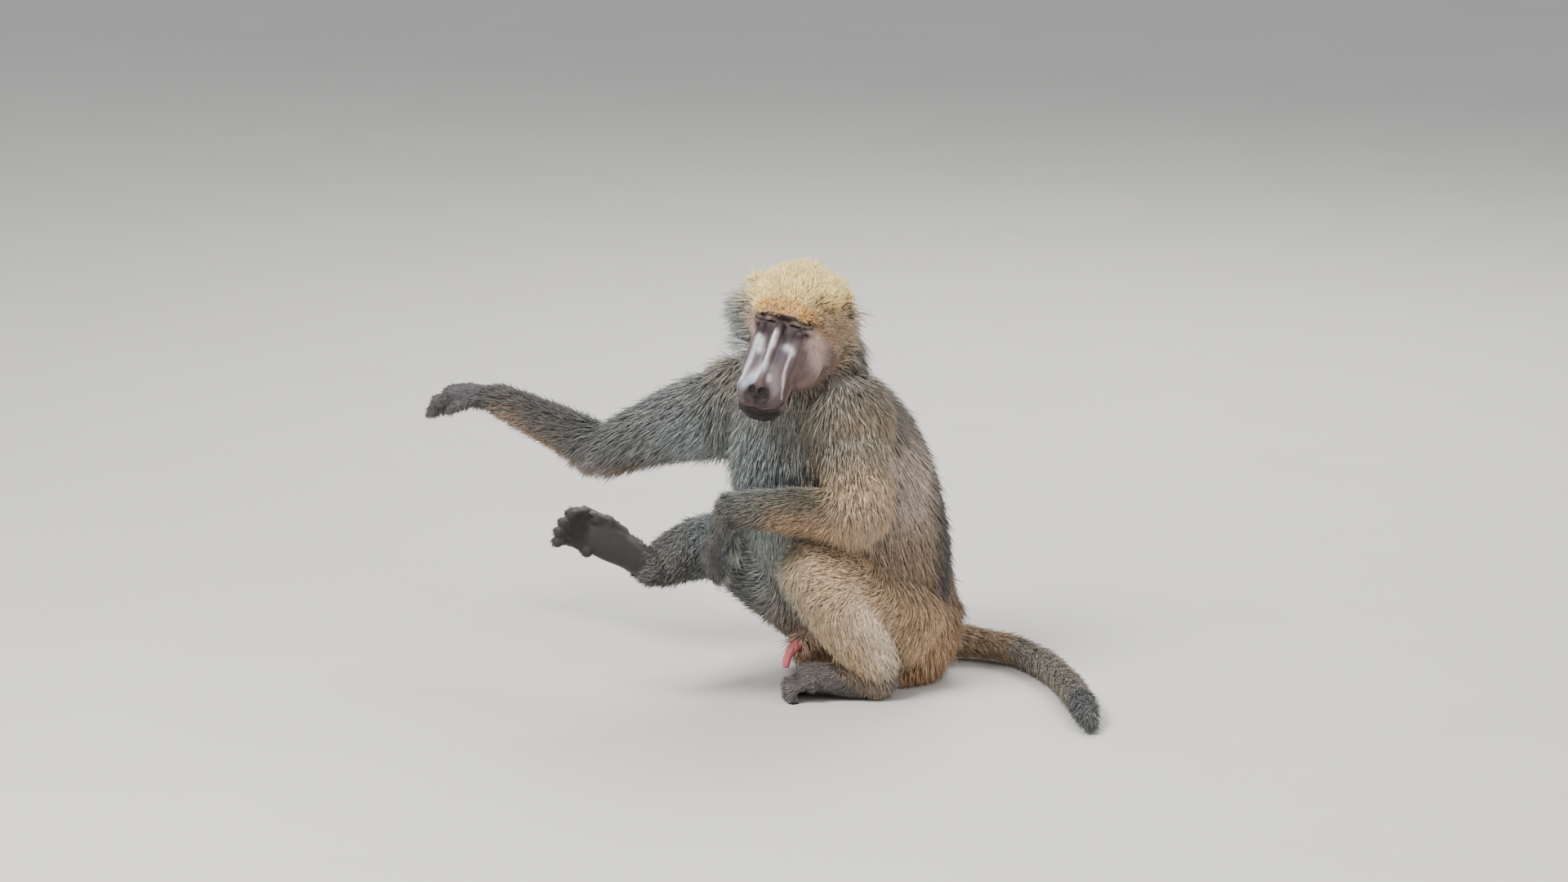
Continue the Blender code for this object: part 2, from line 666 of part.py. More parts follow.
def tail_forms(first, last):
    return [loft([(p, r, r) for p, r in TAIL[first:last]], UP, sides=16, steps=3, start=0.8, end=0.8)]


def build():
    clear_scene()
    nodes = new_collection("baboon", True)
    cutters = new_collection("cutters", False)
    finished = []
    finishes = {}

    def keep(made, finish):
        finished.append(made)
        finishes[made.name] = finish
        return made

    def node(name, forms, kind, finish, voxel=0.006, smoothing=6, prepare=None):
        """Makes a node of the forms, cut clear of the ones before it."""
        made = fuse(name, forms, nodes, FACES[kind], voxel, smoothing)
        if prepare:
            prepare(made, cutters)
        cut_flat(made)
        fit_round(made, finished, cutters)
        return keep(made, finish)

    head = node("head", head_forms(), "head", "skin", 0.0035, 3, add_eye_sockets)
    cut_face_openings(head, cutters)
    torso = node("torso", torso_forms(), "torso", "coat", smoothing=14)
    for hand, word in ((1, "left"), (-1, "right")):
        keep(object_of(f"eye_{word}", ball(eye_centre(hand), (EYE_RADIUS,) * 3, sides=14), nodes), "eye")
        ear = make_ear(f"ear_{word}", hand, nodes, cutters)
        fit_round(ear, finished, cutters)
        keep(ear, "skin")
    neck = node("neck", neck_forms(), "neck", "mantle")

    forward, inward = Vector((0.9, 0.3, 0.0)), Vector((0.3, 0.9, 0.0))
    for name, kind, finish, form in (
        ("thigh_left", "thigh", "coat", segment(HIP_LEFT, KNEE_LEFT, (0.100, 0.094, 0.078, 0.058))),
        ("thigh_right", "thigh", "coat", segment(HIP_RIGHT, KNEE_RIGHT, (0.092, 0.092, 0.080, 0.056))),
        ("shin_left", "shin", "coat", segment(KNEE_LEFT, ANKLE_LEFT, (0.058, 0.064, 0.060, 0.040))),
        ("shin_right", "shin", "coat",
         segment(KNEE_RIGHT, ANKLE_RIGHT, (0.056, 0.058, 0.053, 0.042), UP * LIMB_BULGE)),
    ):
        node(name, [form], kind, finish)
    left_foot = foot_forms(HEEL_LEFT, TOES_LEFT, Vector((0.0, 1.0, 0.0)), -UP, 0.95, 0.016, 0.012)
    node("foot_left", left_foot, "foot", "skin", 0.0032, 2)
    sole_out = Vector((0.0, -0.9, -0.35))
    right_foot = foot_forms(HEEL_RIGHT, TOES_RIGHT, Vector((0.5, 0.25, 0.8)), sole_out, 0.55, 0.0, 0.004)
    node("foot_right", right_foot, "foot", "skin", 0.0032, 2)
    for name, kind, finish, form in (
        ("upper_arm_left", "upper_arm", "mantle", segment(SHOULDER_LEFT, ELBOW_LEFT, (0.075, 0.068, 0.052))),
        ("upper_arm_right", "upper_arm", "mantle",
         segment(SHOULDER_RIGHT, ELBOW_RIGHT, (0.088, 0.078, 0.060, 0.046), UP * LIMB_BULGE)),
        ("forearm_left", "forearm", "coat", segment(ELBOW_LEFT, WRIST_LEFT, (0.050, 0.046, 0.040, 0.030))),
        ("forearm_right", "forearm", "coat", segment(ELBOW_RIGHT, WRIST_RIGHT, (0.045, 0.043, 0.037, 0.030))),
    ):
        node(name, [form], kind, finish)
    left_hand = hand_forms(WRIST_LEFT, KNUCKLES_LEFT, inward, forward, 0.55)
    node("hand_left", left_hand, "hand", "skin", 0.0032, 2)
    right_hand = hand_forms(WRIST_RIGHT, KNUCKLES_RIGHT, Vector((0.5, -0.8, 0.0)), -UP, 0.65)
    node("hand_right", right_hand, "hand", "skin", 0.0032, 2)
    for name, first, last in (("tail_base", 0, 4), ("tail_middle", 3, 6), ("tail_tip", 5, 9)):
        node(name, tail_forms(first, last), "tail", "coat")

    for thing, centre, count, growth, seed in (
        (head, skull_point(-6.5, 0, -2.0), 178, head_growth, 34),
        (neck, Vector((-0.085, -0.060, 0.590)), 75, mantle_growth, 24),
        (torso, Vector((-0.040, -0.020, 0.420)), 118, mantle_growth, 14),
    ):
        add_locks(thing, centre, count, growth, [other for other in finished if other != thing], seed)
    for made in finished:
        finish_node(made, finishes[made.name])
        made.data.transform(Matrix.Translation(-ORIGIN))


build()
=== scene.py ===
"""A seated adult male baboon: skin, coat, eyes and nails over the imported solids.

Places are in metres, before the whole is moved so that its box stands centred on the origin.
Places on the head are in centimetres from the bridge between the eyes.
"""

import math

import bmesh
import bpy
import numpy as np
from mathutils import Matrix, Vector
from mathutils.bvhtree import BVHTree


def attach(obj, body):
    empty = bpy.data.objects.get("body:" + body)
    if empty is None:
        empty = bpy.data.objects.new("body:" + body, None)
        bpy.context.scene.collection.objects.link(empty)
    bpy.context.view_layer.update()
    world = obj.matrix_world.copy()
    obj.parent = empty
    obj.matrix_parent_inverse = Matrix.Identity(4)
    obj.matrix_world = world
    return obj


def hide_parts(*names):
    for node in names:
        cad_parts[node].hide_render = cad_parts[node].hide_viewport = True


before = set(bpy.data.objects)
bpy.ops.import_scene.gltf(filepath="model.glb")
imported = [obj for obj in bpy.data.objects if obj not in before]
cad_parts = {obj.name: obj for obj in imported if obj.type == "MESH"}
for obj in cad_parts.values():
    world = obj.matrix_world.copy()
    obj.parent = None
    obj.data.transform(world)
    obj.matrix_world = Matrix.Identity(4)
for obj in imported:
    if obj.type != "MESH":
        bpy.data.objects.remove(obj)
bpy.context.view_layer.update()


def at(x, y, z):
    return Vector((x, y, z))


ORIGIN = at(-0.164, -0.019, 0.0)
SEED = 11
TUFTS = 148000
PIECE_LIMIT = 190000
PATCH = 0.003  # how far across each tuft's place on the map is

# The least height of skin, tufts and nails over the floor, and the height under which no hair grows.
SKIN_LOW, TUFT_LOW, NAIL_LOW, HAIR_LOW = 0.0006, 0.0008, 0.0004, 0.004

# The camera's target in the solids' frame, its distance, its angle down in degrees and its lens.
CAMERA_TARGET = at(-0.114, 0.0, 0.431)
CAMERA_AWAY, CAMERA_DOWN, CAMERA_LENS = 11.43, 12, 150

# The body's own directions at the pelvis and the shoulders.
FORWARD = at(-0.77, -0.64, 0.0).normalized()
LEFT = at(0.64, -0.77, 0.0).normalized()
UP = at(0.0, 0.0, 1.0)

# Joint centres.
HIP_LEFT = at(0.085, -0.045, 0.125)
HIP_RIGHT = at(-0.012, 0.07, 0.112)
KNEE_LEFT = at(-0.069, -0.18, 0.25)
KNEE_RIGHT = at(-0.215, -0.01, 0.25)
ANKLE_LEFT = at(0.052, -0.134, 0.058)
ANKLE_RIGHT = at(-0.326, -0.19, 0.254)
SHOULDER_LEFT = at(-0.01, -0.105, 0.5)
SHOULDER_RIGHT = at(-0.19, 0.055, 0.48)
ELBOW_LEFT = at(0.022, -0.215, 0.35)
ELBOW_RIGHT = at(-0.426, 0.08, 0.398)
WRIST_LEFT = at(-0.206, -0.232, 0.362)
WRIST_RIGHT = at(-0.622, 0.236, 0.458)
KNUCKLES_LEFT = at(-0.238, -0.232, 0.292)
KNUCKLES_RIGHT = at(-0.7, 0.296, 0.457)
HEEL_LEFT = at(0.062, -0.13, 0.03)
TOES_LEFT = at(-0.152, -0.14, 0.024)
HEEL_RIGHT = at(-0.336, -0.205, 0.243)
TOES_RIGHT = at(-0.505, -0.225, 0.362)

# The head's bridge, the muzzle's own directions and the skull's.
BRIDGE = at(-0.117, -0.19, 0.686)
MUZZLE = at(-0.327, -0.473, -0.818).normalized()
HEAD_LEFT = at(0.912, -0.385, -0.142).normalized()
MUZZLE_TOP = MUZZLE.cross(HEAD_LEFT).normalized()
HEAD_TILT = math.radians(32)
HEAD_FORWARD = MUZZLE * math.cos(HEAD_TILT) + MUZZLE_TOP * math.sin(HEAD_TILT)
HEAD_UP = HEAD_FORWARD.cross(HEAD_LEFT)
HEAD_AXES = (HEAD_FORWARD, HEAD_LEFT, HEAD_UP)
MUZZLE_AXES = (MUZZLE, HEAD_LEFT, MUZZLE_TOP)
EYE_APART = 4.8
EYE_RADIUS = 0.0116

TAIL = [
    (at(0.1, 0.1, 0.085), 0.05),
    (at(0.155, 0.142, 0.047), 0.04),
    (at(0.222, 0.15, 0.034), 0.034),
    (at(0.292, 0.106, 0.031), 0.031),
    (at(0.342, 0.01, 0.03), 0.03),
    (at(0.375, -0.11, 0.029), 0.029),
    (at(0.394, -0.23, 0.028), 0.028),
    (at(0.404, -0.32, 0.025), 0.025),
    (at(0.408, -0.375, 0.018), 0.014),
]

# How thick each part is under its coat, as a share of the solid.
TORSO_FIT = 0.915
LIMB_FIT = 0.86
TAIL_FIT = 0.72
SKULL_FIT = 0.9
BARE_FIT = 0.975
FINGER = 0.062


def tone(text):
    """A linear colour from six hexadecimal digits of display colour."""
    parts = [int(text[k : k + 2], 16) / 255 for k in (0, 2, 4)]
    return np.array([p / 12.92 if p <= 0.04045 else ((p + 0.055) / 1.055) ** 2.4 for p in parts])


def hair(*texts):
    """Colours of hair at the root, in the middle and towards the tip."""
    return tuple(tone(text) for text in texts)


def skull_point(forward, left, up):
    return BRIDGE + (HEAD_FORWARD * forward + HEAD_LEFT * left + HEAD_UP * up) * 0.01


def muzzle_point(along, left, top):
    return BRIDGE + (MUZZLE * along + HEAD_LEFT * left + MUZZLE_TOP * top) * 0.01


def square_to(axis, side):
    return (side - axis * side.dot(axis)).normalized()


# The simple forms that flesh is built from.


def smooth_value(a, b, c, d, t):
    """A point of the smooth curve through b and c, with a before and d after them."""
    square = (2 * a - 5 * b + 4 * c - d) * t * t
    return 0.5 * ((2 * b) + (c - a) * t + square + (3 * b - a - 3 * c + d) * t**3)


def smooth_stations(stations, steps):
    """More stations on the smooth curve through these ones."""
    found = []
    last = len(stations) - 1
    for i in range(last):
        around = [stations[min(max(i + k, 0), last)] for k in (-1, 0, 1, 2)]
        for step in range(steps):
            t = step / steps
            found.append(tuple(smooth_value(*[s[k] for s in around], t) for k in range(3)))
    found.append(stations[last])
    return found


def with_domes(stations, start, end):
    """The stations with two smaller ones beyond each end, so that it closes in a dome of that depth."""
    first, last = stations[0], stations[-1]
    out_first = (first[0] - stations[1][0]).normalized() * first[1] * start
    out_last = (last[0] - stations[-2][0]).normalized() * last[1] * end
    before = [(first[0] + out_first * d, first[1] * s, first[2] * s) for s, d in ((0.42, 0.95), (0.82, 0.6))]
    after = [(last[0] + out_last * d, last[1] * s, last[2] * s) for s, d in ((0.82, 0.6), (0.42, 0.95))]
    return before + stations + after


def loft(stations, side, fit=1.0, sides=24, steps=4, start=0.6, end=0.6, corner=0.0):
    """A closed tube through stations of (centre, half width, half depth), thinned to this fit."""
    rings = with_domes(smooth_stations([(c, w * fit, d * fit) for c, w, d in stations], steps), start, end)
    mesh = bmesh.new()
    ring = bmesh.ops.create_circle(mesh, cap_ends=True, segments=sides, radius=1.0)["verts"]
    for vertex in ring:
        reach = max(abs(vertex.co.x), abs(vertex.co.y))
        vertex.co *= 1 + corner * (1 / reach - 1)
    edges = list(mesh.edges)
    placed = Matrix.Identity(4)
    for i, (centre, wide, deep) in enumerate(rings):
        axis = (rings[min(i + 1, len(rings) - 1)][0] - rings[max(i - 1, 0)][0]).normalized()
        across = square_to(axis, side)
        place = Matrix((across * wide, axis.cross(across) * deep, axis * wide)).transposed().to_4x4()
        place.translation = centre
        if i:
            made = bmesh.ops.extrude_edge_only(mesh, edges=edges)["geom"]
            ring = [g for g in made if isinstance(g, bmesh.types.BMVert)]
            edges = [g for g in made if isinstance(g, bmesh.types.BMEdge)]
        bmesh.ops.transform(mesh, matrix=place @ placed.inverted(), verts=ring)
        placed = place
    bmesh.ops.edgeloop_fill(mesh, edges=edges)
    bmesh.ops.recalc_face_normals(mesh, faces=mesh.faces)
    return mesh


def ball(centre, radii, axes=(at(1, 0, 0), at(0, 1, 0), at(0, 0, 1)), sides=24):
    """An ellipsoid with its radii along these axes."""
    mesh = bmesh.new()
    place = Matrix([axis * radius for axis, radius in zip(axes, radii)]).transposed().to_4x4()
    place.translation = centre
    bmesh.ops.create_uvsphere(mesh, u_segments=sides, v_segments=sides // 2, radius=1.0, matrix=place)
    bmesh.ops.recalc_face_normals(mesh, faces=mesh.faces)
    return mesh


def tube(points, radii, side=UP, sides=16, steps=4, fit=1.0):
    return loft([(p, r, r) for p, r in zip(points, radii)], side, fit, sides, steps)


def object_of(name, mesh):
    data = bpy.data.meshes.new(name)
    mesh.to_mesh(data)
    mesh.free()
    made = bpy.data.objects.new(name, data)
    bpy.context.scene.collection.objects.link(made)
    return made


def joined(name, forms):
    """One object of all these forms, side by side."""
    whole = bmesh.new()
    for form in forms:
        data = bpy.data.meshes.new("form")
        form.to_mesh(data)
        form.free()
        whole.from_mesh(data)
        bpy.data.meshes.remove(data)
    return object_of(name, whole)


def apply_modifiers(thing):
    graph = bpy.context.evaluated_depsgraph_get()
    shaped = bpy.data.meshes.new_from_object(thing.evaluated_get(graph))
    thing.modifiers.clear()
    old = thing.data
    thing.data = shaped
    bpy.data.meshes.remove(old)


def flesh(name, forms, voxel, smoothing):
    """The forms as one smooth closed skin."""
    made = joined(name, forms)
    remesh = made.modifiers.new("one skin", "REMESH")
    remesh.mode = "VOXEL"
    remesh.voxel_size = voxel
    soften = made.modifiers.new("soften", "SMOOTH")
    soften.factor = 0.5
    soften.iterations = smoothing
    apply_modifiers(made)
    return made


def boolean(thing, others, operation):
    for other in others:
        step = thing.modifiers.new("boolean", "BOOLEAN")
        step.operation = operation
        step.solver = "MANIFOLD"
        step.object = other
        apply_modifiers(thing)
        data = other.data
        bpy.data.objects.remove(other)
        bpy.data.meshes.remove(data)


def segment(a, b, radii, fit=LIMB_FIT, bulge=None):
    """A limb length from a to b with these radii spread evenly along it; bulge pushes its middle aside."""
    last = len(radii) - 1
    stations = []
    for i, radius in enumerate(radii):
        centre = a.lerp(b, i / last)
        if bulge:
            centre += bulge * math.sin(math.pi * i / last)
        stations.append((centre, radius, radius))
    return loft(stations, UP, fit, 20, 3)


# The small bare form under the belly.
GROIN = (at(-0.05, -0.06, 0.105), at(-0.1, -0.108, 0.083), at(-0.112, -0.122, 0.052))


def body_forms():
    """Trunk, neck, limbs and tail under their coat."""
    spine = [
        (at(0.056, 0.045, 0.022), 0.128, 0.112),
        (at(0.052, 0.04, 0.09), 0.15, 0.138),
        (at(0.03, 0.025, 0.18), 0.16, 0.16),
        (at(0.004, 0.008, 0.275), 0.163, 0.18),
        (at(-0.026, -0.008, 0.36), 0.166, 0.182),
        (at(-0.056, -0.025, 0.44), 0.158, 0.165),
        (at(-0.078, -0.038, 0.51), 0.126, 0.13),
        (at(-0.088, -0.045, 0.56), 0.1, 0.105),
    ]
    axes = (LEFT, FORWARD, UP)
    low = at(-0.08, -0.036, 0.52)
    high = skull_point(-10.5, 0, -5.0)
    neck = [(low, 0.118, 0.112), (low.lerp(high, 0.5), 0.106, 0.098), (high, 0.066, 0.06)]
    trunk = [
        (SHOULDER_LEFT.lerp(ELBOW_LEFT, 0.1), (0.075, 0.085, 0.1)),
        (SHOULDER_RIGHT + at(0.012, 0.0, 0.006), (0.094, 0.084, 0.092)),
        (at(-0.095, 0.03, 0.3), (0.11, 0.11, 0.12)),
        (at(0.105, 0.06, 0.105), (0.11, 0.085, 0.11)),
        (at(0.085, 0.0, 0.066), (0.07, 0.08, 0.066)),
        (at(0.01, 0.075, 0.066), (0.07, 0.07, 0.064)),
        (at(-0.026, 0.088, 0.06), (0.07, 0.084, 0.066)),
    ]
    forms = [ball(centre, [r * TORSO_FIT for r in radii], axes) for centre, radii in trunk]
    return forms + [
        loft(spine, LEFT, TORSO_FIT, 32, start=0.3, end=0.5),
        loft(neck, LEFT, 0.88, end=0.7),
        segment(HIP_LEFT, KNEE_LEFT, (0.1, 0.094, 0.078, 0.058)),
        segment(HIP_RIGHT, KNEE_RIGHT, (0.092, 0.092, 0.08, 0.056)),
        segment(KNEE_LEFT, ANKLE_LEFT, (0.058, 0.064, 0.06, 0.04)),
        segment(KNEE_RIGHT, ANKLE_RIGHT, (0.056, 0.058, 0.053, 0.042), bulge=UP * 0.008),
        segment(SHOULDER_LEFT, ELBOW_LEFT, (0.075, 0.068, 0.052)),
        segment(SHOULDER_RIGHT, ELBOW_RIGHT, (0.088, 0.078, 0.06, 0.046), bulge=UP * 0.008),
        segment(ELBOW_LEFT, WRIST_LEFT, (0.05, 0.046, 0.04, 0.03)),
        segment(ELBOW_RIGHT, WRIST_RIGHT, (0.045, 0.043, 0.037, 0.03)),
        tube([p for p, r in TAIL], [r for p, r in TAIL], fit=TAIL_FIT),
        tube(GROIN, (0.015, 0.011, 0.0085)),
    ]


# The bar of the brow from end to end, on the skull.
BROW = ((-1.9, -5.0, 0.2), (-1.0, -2.8, 0.8), (-1.0, 0.0, 0.6), (-1.0, 2.8, 0.8), (-1.9, 5.0, 0.2))


def eye_centre(hand):
    return muzzle_point(-0.9, EYE_APART / 2 * hand, -1.55)


def ear_centre(hand):
    return skull_point(-8.2, 8.1 * hand, -1.6)


def ear_axes(hand):
    """Out of the ear's cup, up along it and across it."""
    out = (HEAD_LEFT * hand + HEAD_FORWARD * 0.45).normalized()
    flat = square_to(out, HEAD_UP - HEAD_FORWARD * 0.35)
    return out, flat, out.cross(flat)


def head_forms():
    """Skull, brow bar, cheeks, muzzle and jaw, bare on the face and under the crown's coat behind it."""
    upper = [
        (muzzle_point(-1.0, 0, -5.2), 0.046, 0.035),
        (muzzle_point(2.0, 0, -4.1), 0.043, 0.034),
        (muzzle_point(6.0, -0.05, -3.6), 0.041, 0.031),
        (muzzle_point(10.0, -0.2, -3.3), 0.043, 0.027),
        (muzzle_point(13.0, -0.35, -3.1), 0.045, 0.023),
    ]
    jaw = [
        (muzzle_point(-3.0, 0, -8.6), 0.054, 0.036),
        (muzzle_point(3.0, 0, -8.0), 0.047, 0.033),
        (muzzle_point(9.0, -0.2, -6.5), 0.039, 0.025),
        (muzzle_point(14.0, -0.35, -5.4), 0.0445, 0.0235),
    ]
    skull = [
        (skull_point(-7.8, 0, -0.6), (0.074, 0.08, 0.046)),
        (skull_point(-4.6, 0, 0.0), (0.042, 0.062, 0.029)),
        (skull_point(-8.5, 0, -4.5), (0.066, 0.074, 0.066)),
    ]
    forms = [ball(centre, [r * SKULL_FIT for r in radii], HEAD_AXES, 32) for centre, radii in skull]
    forms += [
        loft(upper, HEAD_LEFT, BARE_FIT, 32, start=0.3, end=0.7, corner=0.45),
        loft(jaw, HEAD_LEFT, BARE_FIT, 28, start=0.3, end=0.7, corner=0.3),
        ball(muzzle_point(13.3, 0, -1.2), (0.015, 0.02, 0.011), MUZZLE_AXES),
        tube([skull_point(*place) for place in BROW], (0.008, 0.01, 0.0095, 0.01, 0.008), HEAD_UP),
        tube([muzzle_point(1.0, 0, -0.4), muzzle_point(7.0, 0, -0.45), muzzle_point(13.0, 0, -1.0)],
             (0.008, 0.007, 0.007), HEAD_LEFT),
    ]
    for hand in (-1, 1):
        forms.append(ball(muzzle_point(4.0, 3.6 * hand, -7.6), (0.056, 0.031, 0.042), MUZZLE_AXES))
        forms.append(ball(skull_point(-4.6, 4.3 * hand, -4.6), (0.045, 0.037, 0.051), HEAD_AXES))
        forms.append(ball(skull_point(-7.2, 4.9 * hand, -4.4), (0.05, 0.037, 0.055), HEAD_AXES))
        forms.append(ball(skull_point(-5.2, 4.4 * hand, -8.0), (0.048, 0.034, 0.045), HEAD_AXES))
        temple = [muzzle_point(0.4, 4.4 * hand, -2.1), skull_point(-4.0, 5.9 * hand, -2.6)]
        forms.append(tube(temple, (0.0115, 0.0145)))
        ridge = [muzzle_point(1.4, 3.3 * hand, -1.7), muzzle_point(4.6, 3.5 * hand, -1.4),
                 muzzle_point(9.0, 3.4 * hand, -1.5), muzzle_point(12.4, 3.0 * hand, -2.0)]
        forms.append(tube(ridge, (0.009, 0.01, 0.0095, 0.008), HEAD_LEFT))
        forms.append(ball(eye_centre(hand), (0.0146,) * 3))
        out, flat, along = ear_axes(hand)
        ear = ear_centre(hand)
        forms.append(ball(ear, (0.006, 0.022, 0.017), (out, flat, along)))
        forms.append(ball(ear - out * 0.01 - flat * 0.004, (0.017, 0.014, 0.011), (out, flat, along)))
    return forms


class Digits:
    """Collects each finger's and toe's end, for its nail."""

    def __init__(self):
        self.ends = []

    def digit(self, points, radius, tip, top):
        radii = [radius * (1 - (1 - tip) * i / (len(points) - 1)) for i in range(len(points))]
        points = [Vector((p.x, p.y, max(p.z, r * 0.9))) for p, r in zip(points, radii)]
        along = (points[-1] - points[-2]).normalized()
        self.ends.append((points[-1], along, square_to(along, top), radii[-1]))
        knuckle = ball(points[1], (radius * 1.06,) * 3)
        return [tube(points, radii, UP, 14, 4), knuckle]


digits = Digits()


def hand_forms(wrist, knuckles, palm_side, palm_down, curl):
    """Palm, four fingers and a thumb. palm_side points to the thumb, palm_down out of the palm."""
    along = (knuckles - wrist).normalized()
    across = square_to(along, palm_side)
    down = square_to(along, palm_down)
    stations = [(wrist - along * 0.012, 0.026, 0.021), (wrist.lerp(knuckles, 0.45), 0.033, 0.019),
                (knuckles, 0.036, 0.016)]
    forms = [loft(stations, across, 0.96, 24, 4, 0.5, 0.6)]
    for i in range(4):
        offset = (1.5 - i) * 0.0178
        root = knuckles - along * 0.01 + across * offset
        length = FINGER * (0.92, 1.0, 0.98, 0.82)[i]
        spread = across * offset * 0.12
        middle = root + (along * math.cos(curl * 0.5) + down * math.sin(curl * 0.5)) * length * 0.55 + spread
        tip = middle + (along * math.cos(curl * 1.5) + down * math.sin(curl * 1.5)) * length * 0.6
        forms += digits.digit([root, middle, tip], 0.0093, 0.78, -down)
        forms.append(ball(root - down * 0.003, (0.0108,) * 3))
    base = wrist.lerp(knuckles, 0.3) + across * 0.028
    bend = base + along * 0.026 + across * 0.018 + down * 0.01
    forms += digits.digit([base, bend, bend + along * 0.02 + down * 0.012], 0.0094, 0.8, across)
    return forms


def foot_forms(heel, toes, inner_side, sole_down, curl, arch, big_toe_out):
    """Heel, sole, four toes and a big toe like a thumb. arch lifts the knuckles off the sole's line."""
    along = (toes - heel).normalized()
    length = (toes - heel).length
    across = square_to(along, inner_side)
    down = square_to(along, sole_down)
    top = -down
    ball_of_foot = heel + along * length * 0.62 + top * arch
    stations = [(heel + top * 0.006, 0.027, 0.03), (heel + along * length * 0.25 + top * 0.006, 0.029, 0.031),
                (heel + along * length * 0.46 + top * arch * 0.7, 0.034, 0.025), (ball_of_foot, 0.037, 0.021)]
    forms = [loft(stations, across, 0.96, 24, 4, 0.7, 0.5)]
    for i in range(4):
        offset = (1.35 - i) * 0.0182
        root = ball_of_foot - along * 0.01 + across * offset
        reach = length * 0.4 * (0.96, 1.0, 0.97, 0.86)[i]
        middle = root + (along * math.cos(curl * 0.4) + down * math.sin(curl * 0.4)) * reach * 0.55
        tip = middle + (along * math.cos(curl * 1.6) + down * math.sin(curl * 1.6)) * reach * 0.5
        forms += digits.digit([root, middle, tip], 0.0103, 0.85, top)
        forms.append(ball(tip + down * 0.003, (0.0094,) * 3))
        forms.append(ball(root + along * 0.004 + down * 0.01, (0.0105,) * 3))
    base = heel + along * length * 0.4 + across * 0.024 + top * arch * 0.5
    bend = base + along * 0.034 + across * big_toe_out + down * 0.006
    tip = bend + along * 0.026 + down * (0.01 + arch * 0.7)
    forms += digits.digit([base, bend, tip], 0.013, 0.88, across)
    forms.append(ball(heel + along * length * 0.05 + down * 0.01, (0.024, 0.024, 0.02)))
    return forms


# The line of the mouth on its left side, from the middle to the corner.
MOUTH = ((15.9, 0, -2.8), (15.5, 2.1, -3.1), (14.6, 3.3, -3.7), (13.0, 4.0, -4.5), (11.4, 4.2, -4.9))


def cut_eyes_and_mouth(head, tree):
    """Opens the slit between each eye's lids, the nostrils and the line of the mouth."""
    cuts = []
    for hand in (-1, 1):
        cuts.append(ball(eye_centre(hand), (EYE_RADIUS + 0.0004,) * 3, sides=32))
        slit = eye_centre(hand) + HEAD_FORWARD * 0.0125 - HEAD_UP * 0.0042
        cuts.append(ball(slit, (0.01, 0.0104, 0.0016), HEAD_AXES, 32))
        cuts.append(ball(muzzle_point(13.6, 1.0 * hand, -0.25), (0.0082, 0.0078, 0.0074), MUZZLE_AXES))
        line = [muzzle_point(*place) for place in on_head([(m, s * hand, d) for m, s, d in MOUTH], tree)[::2]]
        cuts.append(tube(line, [0.0017 - 0.001 * k / len(line) for k in range(len(line))], UP, 10, 3))
        axes = ear_axes(hand)
        cuts.append(ball(ear_centre(hand) + axes[0] * 0.0065, (0.007, 0.016, 0.0112), axes))
    boolean(head, [object_of("cut", cut) for cut in cuts], "DIFFERENCE")


def read(items, what, size=3, kind=float):
    """One row of values for each of a mesh's items."""
    found = np.empty(len(items) * size, dtype=kind)
    items.foreach_get(what, found)
    return found.reshape(-1, size)


def points_of(data):
    return read(data.vertices, "co")


def normals_of(data):
    return read(data.vertices, "normal")


def row(vector):
    return np.array(vector[:])


def by_axes(points, axes):
    """Places on the head, in centimetres from the bridge along these axes."""
    return (points - row(BRIDGE)) @ np.array([axis[:] for axis in axes]).T * 100


def distance_to(points, line):
    """How far each point lies from a bent line."""
    line = [np.array(place, dtype=float) for place in line]
    nearest = np.linalg.norm(points - line[0], axis=1)
    for a, b in zip(line[:-1], line[1:]):
        span = b - a
        t = np.clip((points - a) @ span / (span @ span), 0, 1)
        nearest = np.minimum(nearest, np.linalg.norm(points - a - t[:, None] * span, axis=1))
    return nearest


def both_sides(marks):
    """Each mark, and its mirror on the other side of the head where it lies off the middle."""
    found = []
    for line, *rest in marks:
        found.append((line, *rest))
        if any(abs(place[1]) > 0.01 for place in line):
            found.append((tuple((m, -s, d) for m, s, d in line), *rest))
    return found


